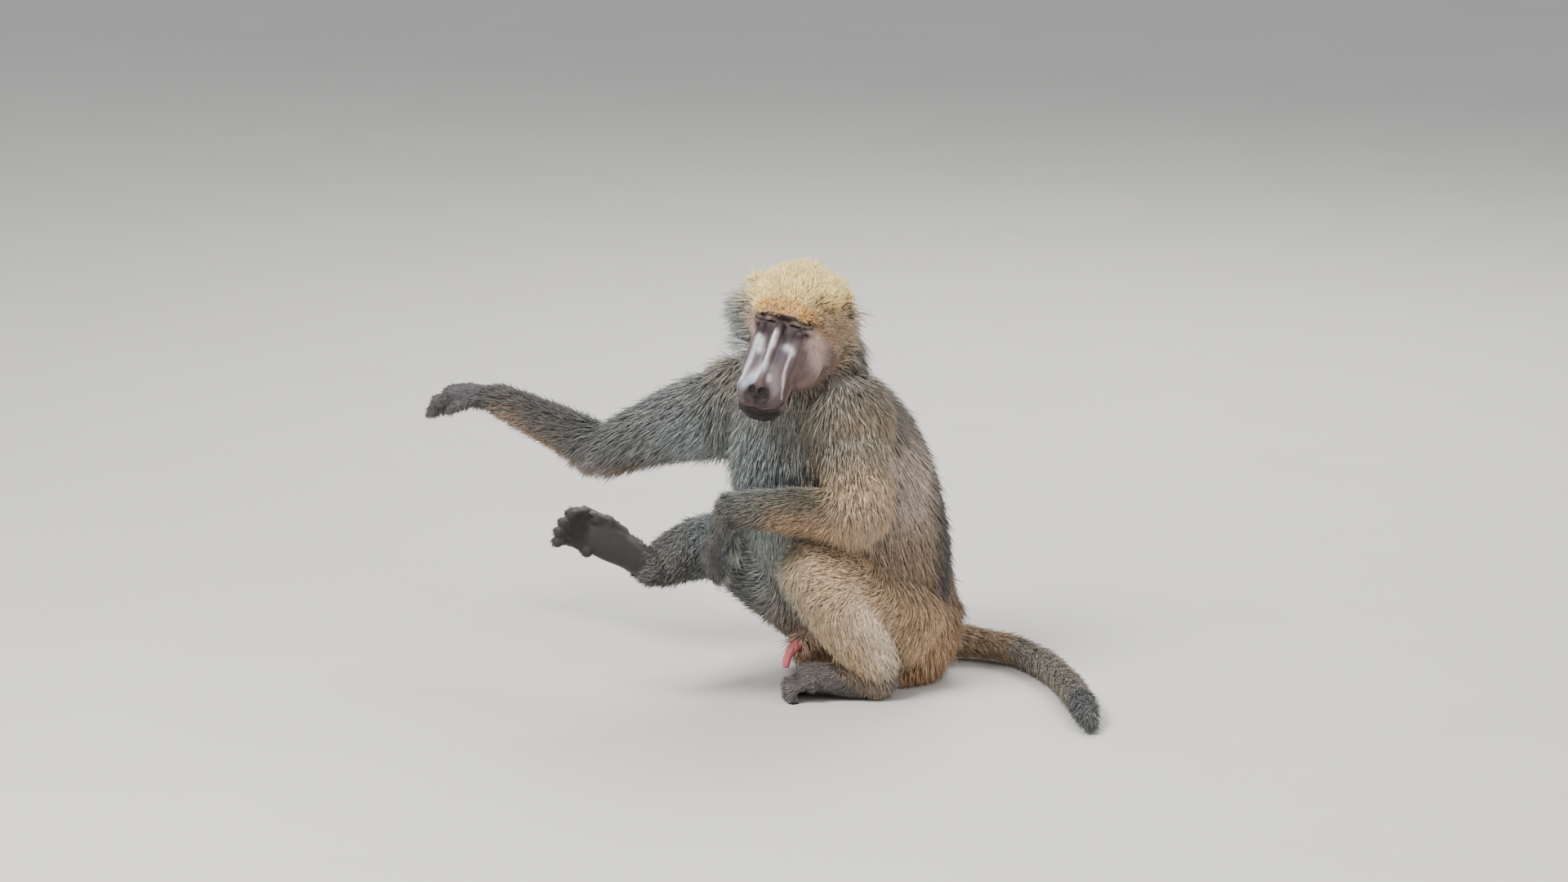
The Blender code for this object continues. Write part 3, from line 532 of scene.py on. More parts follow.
# Folds of the face: line on the muzzle, width in centimetres, height in millimetres.
FOLDS = both_sides([
    (((0.9, 2.0, -0.9), (1.3, 3.0, -1.3), (0.9, 4.2, -2.0)), 0.22, -1.1),
    (((1.6, 2.2, -0.9), (2.1, 3.2, -1.3), (1.7, 4.6, -2.3)), 0.22, -0.8),
    (((-0.1, 1.8, -0.6), (0.6, 3.0, -1.0), (0.1, 4.3, -1.9)), 0.2, 0.7),
    (((-1.9, 1.7, -0.3), (-2.0, 3.0, -0.2), (-1.5, 4.4, -1.0)), 0.25, -1.2),
    (((2.2, 1.6, -0.8), (5.0, 1.8, -0.8), (9.0, 1.7, -0.8), (12.0, 1.6, -1.0)), 0.5, -2.2),
    (((2.4, 3.2, -0.5), (5.0, 3.4, -0.4), (9.0, 3.7, -0.7), (12.0, 4.1, -2.1)), 0.4, 0.8),
    (((3.2, 4.6, -2.0), (6.0, 4.8, -2.2), (9.5, 4.7, -2.4)), 0.25, -0.8),
    (((2.8, 4.9, -3.4), (6.0, 5.0, -3.4), (9.5, 4.8, -3.4)), 0.25, -0.7),
    (((4.0, 5.2, -5.0), (7.0, 5.0, -5.2), (10.0, 4.6, -5.0)), 0.3, -0.6),
    (((12.3, 0.4, -0.3), (12.8, 1.2, -0.2), (13.6, 2.0, -0.6), (14.6, 1.9, -1.3), (15.0, 1.0, -1.6)),
     0.3, 1.6),
    (((15.6, 0.3, -2.2), (15.2, 1.9, -2.4), (14.4, 3.0, -3.1), (12.8, 3.9, -3.9), (9.5, 4.4, -4.7)),
     0.3, 0.9),
    (((16.0, 0.3, -3.4), (15.4, 2.2, -3.7), (14.4, 3.4, -4.3), (12.6, 4.0, -5.2), (9.5, 4.4, -5.9)),
     0.36, 1.1),
    (((12.4, 2.8, -1.7), (13.2, 2.9, -2.2)), 0.35, -0.6),
    (((1.0, 5.6, -3.0), (3.0, 6.0, -5.0), (4.0, 5.8, -7.0)), 0.3, -0.7),
])
FOLDS += [
    (((13.4, 0, -0.4), (14.6, 0, -1.2), (15.4, 0, -2.2)), 0.16, -1.3),
    (((2.6, 0, 0.3), (6.0, 0, 0.3), (11.5, 0, -0.3)), 0.5, 0.8),
    (((16.0, -1.4, -5.4), (16.2, 0, -5.4), (16.0, 1.4, -5.4)), 0.4, 0.8),
]


def on_head(line, tree):
    """The line in muzzle centimetres, with more places along it, laid onto the head's surface."""
    line = [Vector(place) for place in line]
    dense = [a.lerp(b, t / 4) for a, b in zip(line[:-1], line[1:]) for t in range(4)] + [line[-1]]
    laid = np.array([tree.find_nearest(muzzle_point(*place))[0][:] for place in dense])
    return by_axes(laid, MUZZLE_AXES)


def fold_face(data, tree):
    """Pushes the skin of the face in and out along its folds, ridges and lips."""
    points, normals = points_of(data), normals_of(data)
    places = by_axes(points, MUZZLE_AXES)
    push = np.zeros(len(points))
    for line, width, height in FOLDS:
        push += height * 0.001 * np.exp(-((distance_to(places, on_head(line, tree)) / width) ** 2))
    data.vertices.foreach_set("co", (points + normals * push[:, None]).ravel())
    data.update()


def build_skin():
    """One closed skin of head, body, hands and feet."""
    head = flesh("head", head_forms(), 0.0018, 4)
    tree = BVHTree.FromObject(head, bpy.context.evaluated_depsgraph_get())
    fold_face(head.data, tree)
    cut_eyes_and_mouth(head, tree)
    tree = BVHTree.FromObject(head, bpy.context.evaluated_depsgraph_get())
    skin = flesh("skin", body_forms(), 0.0065, 10)
    fine = 0.0024
    left_palm = (at(0.3, 0.9, 0.0), at(0.9, 0.3, 0.0))
    right_palm = (at(0.5, -0.8, 0.0), -UP)
    left_sole = (at(0.0, 1.0, 0.0), -UP)
    right_sole = (at(0.5, 0.25, 0.8), at(0.0, -0.9, -0.35))
    ends = [
        hand_forms(WRIST_LEFT, KNUCKLES_LEFT, *left_palm, 0.55),
        hand_forms(WRIST_RIGHT, KNUCKLES_RIGHT, *right_palm, 0.65),
        foot_forms(HEEL_LEFT, TOES_LEFT, *left_sole, 0.95, 0.016, 0.012),
        foot_forms(HEEL_RIGHT, TOES_RIGHT, *right_sole, 0.55, 0.0, 0.004),
    ]
    boolean(skin, [head] + [flesh("end", forms, fine, 3) for forms in ends], "UNION")
    mesh = bmesh.new()
    mesh.from_mesh(skin.data)
    for vertex in mesh.verts:
        vertex.co.z = max(vertex.co.z, SKIN_LOW)
    bmesh.ops.dissolve_degenerate(mesh, dist=1e-5, edges=mesh.edges)
    bmesh.ops.triangulate(mesh, faces=mesh.faces)
    mesh.to_mesh(skin.data)
    mesh.free()
    skin.data.shade_smooth()
    return skin, tree


def unwrap(thing):
    """Lays the skin's own shape out flat as the map that it and its coat's tufts share."""
    thing.data.uv_layers.new(name="OFBake")
    bpy.ops.object.select_all(action="DESELECT")
    thing.select_set(True)
    bpy.context.view_layer.objects.active = thing
    bpy.ops.object.mode_set(mode="EDIT")
    bpy.ops.mesh.select_all(action="SELECT")
    bpy.ops.uv.smart_project(angle_limit=1.15, island_margin=0.004)
    bpy.ops.object.mode_set(mode="OBJECT")
    thing.select_set(False)


# The colours of the coat.
GREY_BROWN = hair("3a3631", "837c71", "ada495")
DARK_BACK = hair("242323", "474646", "676563")
TAN = hair("664a2f", "ccaa84", "f0d6b2")
ORANGE = hair("66442b", "c2946e", "e8c098")
BLUE_GREY = hair("545e60", "92a0a2", "b8c4c4")
ARM_PALE = hair("424342", "747573", "969692")
ROSE = hair("7e6a5c", "ccb4a6", "ecdacf")
OLIVE = hair("241e18", "504636", "6e624e")
ARM_GREY = hair("1e1c19", "403e39", "605d56")
# Straw-gold crown hair, brightened towards white as painted sunlight on the top of the head.
STRAW_WITH_PAINTED_SUN = hair("dca652", "ffde90", "fff0b0")
OCHRE = hair("604a36", "ac9076", "d6be9c")
# Pale grey-green hair for the far side of the head: painted highlight where the light falls.
PALE_PAINTED_HIGHLIGHT = hair("828686", "b2bcbc", "d0d6d4")
# Pale hair of the lower shin, pushed to near white as painted sunlight.
CREAM_WITH_PAINTED_SUN = hair("d0ae8c", "ffe6c8", "fff4e2")
TAIL_GREY = hair("423c34", "827a6e", "a8a194")
SHIN_GREY = hair("37342f", "635e58", "87817a")
HAND_DARK = hair("292626", "484546", "646262")
TIP_GREY = hair("303231", "60625f", "888a86")


class Part:
    """A part of the coat: its line from a to b and radius, and its hair's length, width, lift off the skin,
    thickness of growth and colours."""

    def __init__(self, name, a, b, radius, length, width, lift, growth, colours, slot="coat"):
        self.name = name
        self.a = row(a)
        self.b = row(b)
        self.radius = radius
        self.length = length
        self.width = width
        self.lift = lift
        self.growth = growth
        self.colours = colours
        self.slot = slot


PARTS = [
    Part("head", skull_point(-4.0, 0, -2.5), skull_point(-10.0, 0, -3.0),
         0.078, 0.04, 0.0017, 0.5, 3.2, OCHRE, "mantle"),
    Part("neck", skull_point(-11.0, 0, -5.0), at(-0.082, -0.036, 0.52),
         0.105, 0.058, 0.0024, 0.24, 1.25, GREY_BROWN, "mantle"),
    Part("shoulders", at(-0.08, -0.036, 0.54), at(-0.05, -0.022, 0.42),
         0.155, 0.052, 0.0025, 0.21, 1.1, GREY_BROWN, "mantle"),
    Part("trunk", at(-0.05, -0.022, 0.42), at(0.01, 0.01, 0.26), 0.17, 0.044, 0.0025, 0.22, 1.0, GREY_BROWN),
    Part("loins", at(0.01, 0.01, 0.26), at(0.055, 0.042, 0.08), 0.16, 0.04, 0.0025, 0.22, 1.0, ORANGE),
    Part("upper_arm_left", SHOULDER_LEFT, ELBOW_LEFT, 0.072, 0.04, 0.0023, 0.21, 1.1, TAN),
    Part("upper_arm_right", SHOULDER_RIGHT, ELBOW_RIGHT, 0.07, 0.04, 0.0023, 0.21, 1.05, ARM_PALE),
    Part("forearm_left", ELBOW_LEFT, WRIST_LEFT, 0.044, 0.026, 0.0018, 0.22, 1.6, OLIVE),
    Part("forearm_right", ELBOW_RIGHT, WRIST_RIGHT, 0.04, 0.028, 0.0019, 0.22, 1.5, ARM_GREY),
    Part("hand_left", WRIST_LEFT, KNUCKLES_LEFT.lerp(WRIST_LEFT, -0.8),
         0.034, 0.011, 0.0017, 0.2, 2.2, HAND_DARK),
    Part("hand_right", WRIST_RIGHT, KNUCKLES_RIGHT.lerp(WRIST_RIGHT, -0.6),
         0.034, 0.011, 0.0017, 0.2, 2.2, HAND_DARK),
    Part("thigh_left", HIP_LEFT, KNEE_LEFT, 0.084, 0.034, 0.0021, 0.21, 1.15, TAN),
    Part("thigh_right", HIP_RIGHT, KNEE_RIGHT, 0.082, 0.034, 0.0021, 0.21, 1.1, SHIN_GREY),
    Part("shin_left", KNEE_LEFT, ANKLE_LEFT, 0.056, 0.028, 0.0019, 0.21, 1.45, TAN),
    Part("shin_right", KNEE_RIGHT, ANKLE_RIGHT, 0.052, 0.024, 0.0019, 0.21, 1.35, SHIN_GREY),
    Part("foot_left", HEEL_LEFT, TOES_LEFT, 0.034, 0.012, 0.0018, 0.22, 2.4, SHIN_GREY),
    Part("foot_right", HEEL_RIGHT, TOES_RIGHT, 0.034, 0.011, 0.0018, 0.2, 2.2, HAND_DARK),
]
TAIL_COLOURS = (ORANGE, OCHRE, OCHRE, TAIL_GREY, TAIL_GREY, TAIL_GREY, TIP_GREY, TIP_GREY)
for start, end, colours in zip(TAIL[:-1], TAIL[1:], TAIL_COLOURS):
    radius = (start[1] + end[1]) / 2 * 0.75
    PARTS.append(Part("tail", start[0], end[0], radius, 0.026, 0.0018, 0.24, 1.6, colours))

NAMES = [part.name for part in PARTS]


def ramp(values, low, high):
    """0 up to low, 1 from high, and smooth between."""
    t = np.clip((values - low) / (high - low), 0, 1)
    return t * t * (3 - 2 * t)


def shares(points, head):
    """How much each part of the coat holds at each point, with the head's share given. They add up to one."""
    found = np.column_stack([distance_to(points, [part.a, part.b]) / part.radius for part in PARTS[1:]])
    found = np.exp(-9.0 * (found - found.min(axis=1)[:, None]))
    found *= ((1 - head) / found.sum(axis=1))[:, None]
    return np.column_stack((head, found))


# The hairline in centimetres: its level at distances from the middle, and how far forward it is at depths.
HAIRLINE_ACROSS = ((1.0, 2.2, 4.0, 5.6, 8.0), (0.9, 1.1, 0.2, -1.1, -1.8))
HAIRLINE_DOWN = ((0.6, 1.4, 2.6, 4.3, 7.8, 10.6, 12.4), (-2.6, -1.1, -1.1, -2.0, -4.2, -5.7, -4.0))


class Survey:
    """Points on the skin with their ways out of it, their places on the head and the parts that hold them."""

    def __init__(self, points, normals, tree):
        self.points = points
        self.normals = normals
        self.forward, self.left, self.up = by_axes(points, HEAD_AXES).T
        self.muzzle = by_axes(points, MUZZLE_AXES)
        away = np.full(len(points), 1.0)
        for i in np.flatnonzero(np.linalg.norm(points - row(BRIDGE), axis=1) < 0.24):
            away[i] = tree.find_nearest(points[i])[3]
        self.head = 1 - ramp(away, 0.003, 0.012)
        self.held = shares(points, self.head)
        side = np.abs(self.left)
        self.above = self.up - np.interp(side, *HAIRLINE_ACROSS)
        edge = np.interp(-self.up, *HAIRLINE_DOWN)
        cheek = self.forward - edge - 0.9 * ramp(-self.left, 3.0, 6.0) * ramp(-self.up, 3.0, 5.0)
        bare = ramp(-self.above, -0.3, 0.3) * ramp(cheek, -0.7, 0.7) * ramp(self.muzzle[:, 2], -12.4, -11.2)
        self.bare = bare * self.head
        self.cheek = self.bare * ramp(side, 4.6, 6.0) * ramp(-self.muzzle[:, 0], -6.0, -3.0)
        self.pink = ramp(-distance_to(points, [place[:] for place in GROIN[1:]]), -0.022, -0.016)
        self.far = ramp(-self.left, 2.5, 6.5) * ramp(-self.forward, 2.0, 5.0) * ramp(-self.up, -2.5, -0.5)
        self.far *= ramp(self.share("neck") + self.head, 0.3, 0.7)
        self.ear = np.zeros(len(points))
        for hand in (-1, 1):
            self.ear += ramp(-np.linalg.norm(points - row(ear_centre(hand)), axis=1), -0.024, -0.016)
        ends = [NAMES.index(name) for name in ("hand_left", "hand_right", "foot_left", "foot_right")]
        self.ends = self.held[:, ends].sum(axis=1)

    def share(self, name):
        return self.held[:, NAMES.index(name)]


def wander(points, scale, seed):
    """A smooth field between about -1 and 1 that varies over this length."""
    draw = np.random.default_rng(seed)
    total = np.zeros(len(points))
    for _ in range(7):
        wave = draw.normal(size=3)
        wave *= draw.uniform(0.6, 1.5) / np.linalg.norm(wave)
        total += np.sin(points @ wave * (2 * math.pi / scale) + draw.uniform(0, 6.28))
    return total / 3.2


# Broader markings of the coat, in metres: line, width, colours and strength.
COAT_MARKS = [
    (((0.11, 0.05, 0.46), (0.16, 0.055, 0.3), (0.19, 0.06, 0.18)), 0.075, DARK_BACK, 1.0),
    (((0.0, 0.06, 0.6), (0.06, 0.085, 0.5), (0.11, 0.085, 0.44)), 0.06, DARK_BACK, 0.6),
    (((-0.19, -0.14, 0.44), (-0.18, -0.13, 0.34), (-0.15, -0.11, 0.2)), 0.095, BLUE_GREY, 0.9),
    (((-0.22, -0.06, 0.47), (-0.26, -0.02, 0.42)), 0.07, BLUE_GREY, 0.55),
    (((0.075, -0.125, 0.43), (0.112, -0.06, 0.42), (0.1, -0.09, 0.36)), 0.045, ROSE, 0.95),
    (((-0.04, -0.19, 0.47), (0.035, -0.185, 0.47)), 0.05, GREY_BROWN, 0.85),
    (((0.165, -0.01, 0.34), (0.158, -0.015, 0.28), (0.16, -0.045, 0.2)), 0.034, DARK_BACK, 1.0),
    (((0.027, -0.133, 0.56), (0.05, -0.08, 0.52)), 0.05, DARK_BACK, 0.4),
    # The pale lower shin, pushed to near white as painted sunlight.
    (((0.02, -0.195, 0.165), (0.045, -0.182, 0.145), (0.065, -0.168, 0.085)), 0.034, CREAM_WITH_PAINTED_SUN, 1.0),
    (((0.047, -0.245, 0.368), (0.03, -0.24, 0.35)), 0.045, GREY_BROWN, 0.45),
    (((-0.38, 0.075, 0.4), (-0.51, 0.11, 0.445)), 0.05, ARM_GREY, 0.85),
    (((0.08, -0.14, 0.05), (-0.06, -0.14, 0.03)), 0.03, HAND_DARK, 0.9),
    (((0.01, 0.12, 0.11), (-0.04, 0.105, 0.15)), 0.085, GREY_BROWN, 0.9),
    (((-0.15, -0.09, 0.235), (-0.12, -0.08, 0.19)), 0.05, GREY_BROWN, 0.6),
    (((-0.11, -0.262, 0.335), (0.01, -0.25, 0.315)), 0.03, ORANGE, 0.6),
    (((-0.3, 0.02, 0.36), (-0.43, 0.06, 0.345), (-0.6, 0.2, 0.425)), 0.03, ORANGE, 0.5),
]

# Markings of the bare face, with painted highlights and painted shade among them, on the muzzle in
# centimetres: line, width, colour and strength.
FACE = tone("5e4d4b")
FACE_MARKS_AND_PAINTED_LIGHT = both_sides([
    (((0.6, 5.6, -3.0), (2.4, 6.6, -5.0), (3.8, 6.3, -6.5), (5.0, 5.8, -8.5)), 2.1, "c2a69c", 0.95),
    (((3.4, 4.6, -3.2), (5.8, 4.5, -4.0), (9.0, 4.6, -4.0)), 0.9, "7d6965", 0.85),
    (((6.5, 5.6, -7.8), (9.0, 4.6, -6.3), (12.0, 4.3, -6.0)), 1.3, "7f6862", 0.85),
    (((1.4, 4.8, -2.9), (2.9, 4.7, -3.7)), 0.5, "bcaaa3", 0.7),
    (((5.0, 1.4, -0.8), (7.0, 1.8, -1.0)), 0.85, "514c56", 0.9),
    (((9.0, 1.3, -0.8), (11.5, 2.3, -1.0), (12.8, 3.1, -1.2)), 0.9, "776a6c", 0.85),
    # Dark skin beside and under the eyes, deepened as painted shade in the eye sockets.
    (((1.6, 0.9, -0.3), (2.6, 1.2, -0.5), (4.0, 1.7, -0.9)), 0.95, "2a2226", 0.95),
    (((0.9, 3.6, -1.1), (2.2, 2.4, -1.0), (2.6, 3.4, -0.7), (1.3, 4.4, -2.2)), 0.95, "2a2124", 0.95),
    # Near-black band along the brow bar: dark skin deepened as painted shadow under the brow and its fringe.
    (((-2.0, 1.0, 0.2), (-1.6, 3.5, -0.4), (-0.8, 5.4, -1.8)), 0.95, "170f0d", 0.97),
    (((0.0, 1.5, -0.9), (0.1, 2.4, -0.6), (0.3, 3.5, -1.3)), 0.3, "8d786e", 0.95),
    (((0.5, 1.4, -1.2), (0.6, 2.6, -1.35), (0.5, 4.0, -1.4), (0.2, 5.4, -1.5)), 0.26, "0f0a09", 0.97),
    (((15.2, 1.5, -1.8), (14.3, 2.0, -1.1)), 0.75, "2b2325", 0.9),
    (((16.2, 0.6, -4.2), (15.6, 2.4, -4.4), (15.0, 3.2, -4.8)), 1.05, "08070a", 0.98),
    (((14.0, 3.8, -4.9), (12.0, 4.2, -6.0)), 0.8, "6a5c58", 0.9),
    (((15.7, 0.4, -2.4), (15.3, 2.0, -2.7), (14.4, 3.2, -3.3), (12.8, 3.9, -4.1)), 0.18, "8a8486", 0.7),
    (((15.9, 0, -2.8), (15.5, 2.1, -3.1), (14.6, 3.3, -3.7), (13.0, 4.0, -4.5)), 0.2, "161011", 0.95),
])
FACE_MARKS_AND_PAINTED_LIGHT += [
    (((16.9, -0.6, -5.4), (16.7, 1.7, -5.6)), 1.6, "131112", 0.98),
    (((16.2, 0, -6.6), (14.0, 0, -8.0)), 2.0, "211c1c", 0.95),
    (((14.1, 0.2, -0.5), (15.2, 0.2, -1.6)), 1.3, "1b1415", 0.95),
    # Near-black in and round the nostrils: painted shade inside the holes, over the dark nose.
    (((13.5, -1.1, -0.7),), 1.1, "050303", 0.98),
    (((13.5, 1.1, -0.7),), 1.1, "050303", 0.98),
    (((0.6, -5.4, -2.2), (2.2, -5.0, -2.6), (4.0, -5.0, -3.0)), 1.1, "3c2f2a", 0.9),
    (((4.0, -4.7, -1.9), (6.0, -4.7, -2.1), (9.0, -4.7, -2.6)), 0.5, "5a4e4e", 0.9),
    (((1.4, -1.9, -0.8), (4.0, -1.5, -0.9), (6.0, -1.3, -0.8)), 0.36, "33292a", 0.95),
    (((6.0, -1.3, -0.8), (8.4, -1.5, -0.9)), 0.4, "77707a", 0.8),
    # Pale skin of the far side's ridge, whitened further as painted highlight where the light falls on that
    # side of the muzzle.
    (((4.4, -2.6, -0.5), (5.9, -2.5, -0.7)), 0.75, "e6dad6", 0.95),
    (((3.8, -3.1, -0.6), (5.9, -3.1, -0.5), (8.2, -3.1, -0.5), (11.5, -3.6, -1.2), (13.5, -4.1, -2.6)),
     0.38, "d3d6dc", 0.92),
    (((12.0, -4.3, -2.4), (14.4, -4.0, -3.0)), 0.8, "8d97a2", 0.7),
    # Painted highlight: the lit far side of the nasal ridge, from the bridge down to the nose.
    (((3.0, -0.75, 0.3), (3.8, -0.65, 0.35), (5.0, -0.4, 0.4)), 0.7, "fff6f2", 0.98),
    (((5.0, -0.4, 0.4), (6.6, -0.3, 0.3), (8.4, -0.4, 0.2)), 0.42, "dcd5dc", 0.95),
    (((9.0, -0.4, -0.1), (10.5, -1.2, -0.9), (11.2, -1.7, -1.0)), 0.85, "dad9e1", 0.92),
    (((11.6, -2.0, -1.1), (12.6, -2.9, -1.3)), 0.8, "a8acb9", 0.85),
    (((10.5, 1.1, -0.9), (11.0, 1.2, -0.9)), 0.45, "b9aab0", 0.8),
    (((4.6, 2.2, -0.9), (5.0, 3.2, -0.5), (5.5, 3.6, -0.4)), 0.62, "cfc6cc", 0.85),
    (((5.6, 3.7, -0.4), (7.3, 3.5, -0.4), (9.2, 3.5, -0.6), (11.1, 3.8, -1.2), (13.2, 3.9, -2.6)),
     0.24, "c6b4b4", 0.9),
    # Dark band between the brows: painted shadow under the brow, over dark skin.
    (((-1.4, 0, 0.2), (0.6, 0, 0.2)), 0.95, "2c211f", 0.93),
]


def mix(colours, other, amount):
    return colours + (other - colours) * amount[:, None]


FRINGE = hair("7a4a1c", "d08a30", "f3bc5c")
TEMPLE = hair("503a28", "9c7b5c", "cdae88")
PINK = tone("d8737c")


def paint_coat(here):
    """The coat's colours at the root, in the middle and towards the tip, at each point, with painted sunlight
    in the crown's and the lower shin's pale hair and a painted highlight on the far side of the head.
    """
    found = [here.held @ np.array([part.colours[k] for part in PARTS]) for k in range(3)]
    crown = ramp(here.above, -0.6, 1.2) * ramp(here.up, -3.0, 0.5) * here.head
    far = here.far * ramp(-here.up, 0.0, 3.0)
    fringe = crown * (1 - ramp(-here.forward, 0.8, 3.2)) * (1 - ramp(np.abs(here.left), 3.5, 6.0))
    temple = here.head * ramp(here.left, 2.5, 5.0) * (1 - ramp(here.up, 1.0, 3.5))
    temple *= 1 - ramp(-here.forward, 3.5, 7.0)
    for k in range(3):
        for line, width, colours, strength in COAT_MARKS:
            near = strength * np.exp(-((distance_to(here.points, line) / width) ** 2)) * (1 - here.head)
            found[k] = mix(found[k], colours[k], near)
        # The crown's straw-gold hair, with painted sunlight in its brightness.
        found[k] = mix(found[k], STRAW_WITH_PAINTED_SUN[k], crown)
        found[k] = mix(found[k], TEMPLE[k], temple * 0.8)
        # Painted highlight: the far side of the head, where the light falls, made pale.
        found[k] = mix(found[k], PALE_PAINTED_HIGHLIGHT[k], far * 0.85)
        found[k] = mix(found[k], FRINGE[k], fringe * 0.75)
    return found


SOLE = tone("332f2e")
HAND = tone("4a4444")
KNUCKLE = tone("5a5454")
EAR = tone("7a6455")
CHEEK_HAIR = tone("b0968b")
SOLE_OUT = row(at(0.0, -0.9, -0.35).normalized())


def paint_skin(here):
    """The skin's colours: the bare face with its marks, painted highlights and painted shade, dark hands and
    feet, and the undercoat elsewhere.
    """
    under = paint_coat(here)
    colours = under[0] * 0.45 + under[1] * 0.55
    face = np.tile(FACE, (len(here.points), 1))
    mottled = np.clip(0.96 + 0.12 * wander(here.points, 0.008, 8) + 0.1 * wander(here.points, 0.003, 9), 0, 1)
    for line, width, colour, strength in FACE_MARKS_AND_PAINTED_LIGHT:
        near = np.exp(-((distance_to(here.muzzle, on_head(line, face_tree)) / width) ** 2))
        face = mix(face, tone(colour), strength * near * mottled)
    hand = np.tile(HAND, (len(here.points), 1))
    hand = mix(hand, KNUCKLE, 0.5 + 0.5 * wander(here.points, 0.02, 5))
    sole = ramp(here.normals @ SOLE_OUT, 0.1, 0.6) * here.share("foot_right")
    hand = mix(hand, SOLE, sole)
    colours = mix(colours, hand, ramp(here.ends, 0.35, 0.75))
    colours = mix(colours, PINK, here.pink)
    colours = mix(colours, EAR, here.ear)
    return mix(colours, face, here.bare)


class Nodes:
    """A material's node tree, with one way to add a node and to read it as a value."""

    def __init__(self, name):
        self.material = bpy.data.materials.new(name)
        self.material.use_nodes = True
        self.tree = self.material.node_tree
        self.shader = self.tree.nodes["Principled BSDF"]

    def add(self, kind, output=0, settings=None, **inputs):
        """Adds a node, sets its settings and then its sockets, and gives the output as a value."""
        node = self.tree.nodes.new("ShaderNode" + kind)
        for key, value in (settings or {}).items():
            setattr(node, key, value)
        for key, value in inputs.items():
            self.feed(self.socket(node.inputs, key), value)
        return Value(self, node.outputs[output])

    def socket(self, sockets, key):
        """A socket by its place as in _0, or by its name with _ for a space."""
        if key[1:].isdigit():
            return sockets[int(key[1:])]
        return sockets[key.replace("_", " ")]

    def feed(self, socket, value):
        if isinstance(value, Value):
            self.tree.links.new(value.socket, socket)
        else:
            socket.default_value = value

    def finish(self, **inputs):
        for key, value in inputs.items():
            self.feed(self.shader.inputs[key.replace("_", " ")], value)
        return self.material

    def noise(self, place, scale, detail=3.0, roughness=0.55):
        return self.add("TexNoise", Vector=place, Scale=scale, Detail=detail, Roughness=roughness)

    def tinted(self, shade):
        """The mesh's own tint, made lighter and darker by a shade."""
        tint = self.add("Attribute", "Color", {"attribute_name": "tint"})
        grey = self.add("CombineColor", Red=shade, Green=shade, Blue=shade)
        return self.blend(1.0, tint, grey, "MULTIPLY")

    def blend(self, amount, a, b, how="MIX"):
        """Mixes two colours by an amount."""
        return self.add("Mix", 2, {"data_type": "RGBA", "blend_type": how}, _0=amount, _6=a, _7=b)


class Value:
    """A shader socket that takes part in Python sums, each of which adds its Math node."""

    def __init__(self, nodes, socket):
        self.nodes = nodes
        self.socket = socket

    def maths(self, operation, a, b):
        return self.nodes.add("Math", settings={"operation": operation}, _0=a, _1=b)

    def __add__(self, other):
        return self.maths("ADD", self, other)

    def __rsub__(self, other):
        return self.maths("SUBTRACT", other, self)

    def __mul__(self, other):
        return self.maths("MULTIPLY", self, other)

    __radd__ = __add__
    __rmul__ = __mul__


def plain(colour):
    return (*[float(c) for c in colour], 1.0)


def skin_finish():
    """Bare skin with creases and pores, the creases only where it is bare, and pores and blotches in the bump
    everywhere.
    """
    nodes = Nodes("skin")
    place = nodes.add("TexCoord", "Object")
    naked = nodes.add("Attribute", "Fac", {"attribute_name": "bare"})
    pores = nodes.noise(place, 900.0, 2.0)
    blotches = nodes.noise(place, 90.0, 4.0)
    creases = nodes.add("TexVoronoi", "Distance", {"feature": "DISTANCE_TO_EDGE"}, Vector=place, Scale=420.0)
    colour = nodes.tinted(0.78 + 0.44 * blotches)
    smooth = {"interpolation_type": "SMOOTHSTEP"}
    crease = nodes.add("MapRange", settings=smooth, Value=creases, _1=0.0, _2=0.12)
    height = crease * 0.5 * naked + pores * 0.6 + blotches * 0.4
    bump = nodes.add("Bump", Height=height, Strength=0.5, Distance=0.0009)
    return nodes.finish(
        Base_Color=colour, Roughness=0.8 - 0.22 * naked + 0.1 * pores, Normal=bump, Specular_IOR_Level=0.28
    )


def coat_finish():
    """Hair by its own ticked tint, a little uneven from tuft to tuft, with fine strands in its bump."""
    nodes = Nodes("coat")
    place = nodes.add("TexCoord", "Object")
    uneven = nodes.noise(place, 260.0, 2.0)
    broad = nodes.noise(place, 22.0, 3.0)
    flecks = nodes.add("MapRange", Value=nodes.noise(place, 170.0, 2.0), _1=0.42, _2=0.58)
    colour = nodes.tinted(0.54 + 0.34 * uneven + 0.26 * broad + 0.32 * flecks)
    strands = nodes.noise(place, 1400.0, 2.0)
    bump = nodes.add("Bump", Height=strands, Strength=0.35, Distance=0.0008)
    return nodes.finish(
        Base_Color=colour, Roughness=0.62 + 0.2 * uneven, Normal=bump, Specular_IOR_Level=0.25,
        Sheen_Weight=0.15,
    )


def eye_finish():
    nodes = Nodes("eye")
    place = nodes.add("TexCoord", "Object")
    flecks = nodes.noise(place, 1100.0, 3.0)
    colour = nodes.tinted(0.7 + 0.6 * flecks)
    return nodes.finish(Base_Color=colour, Roughness=0.08 + 0.05 * flecks, Coat_Weight=0.6)


def nail_finish():
    nodes = Nodes("nail")
    place = nodes.add("TexCoord", "Object")
    streaks = nodes.noise(place, 500.0, 4.0)
    colour = nodes.blend(streaks, plain(tone("1d1716")), plain(tone("5a4a42")))
    bump = nodes.add("Bump", Height=streaks, Strength=0.3, Distance=0.0005)
    return nodes.finish(Base_Color=colour, Roughness=0.28 + 0.2 * streaks, Normal=bump)


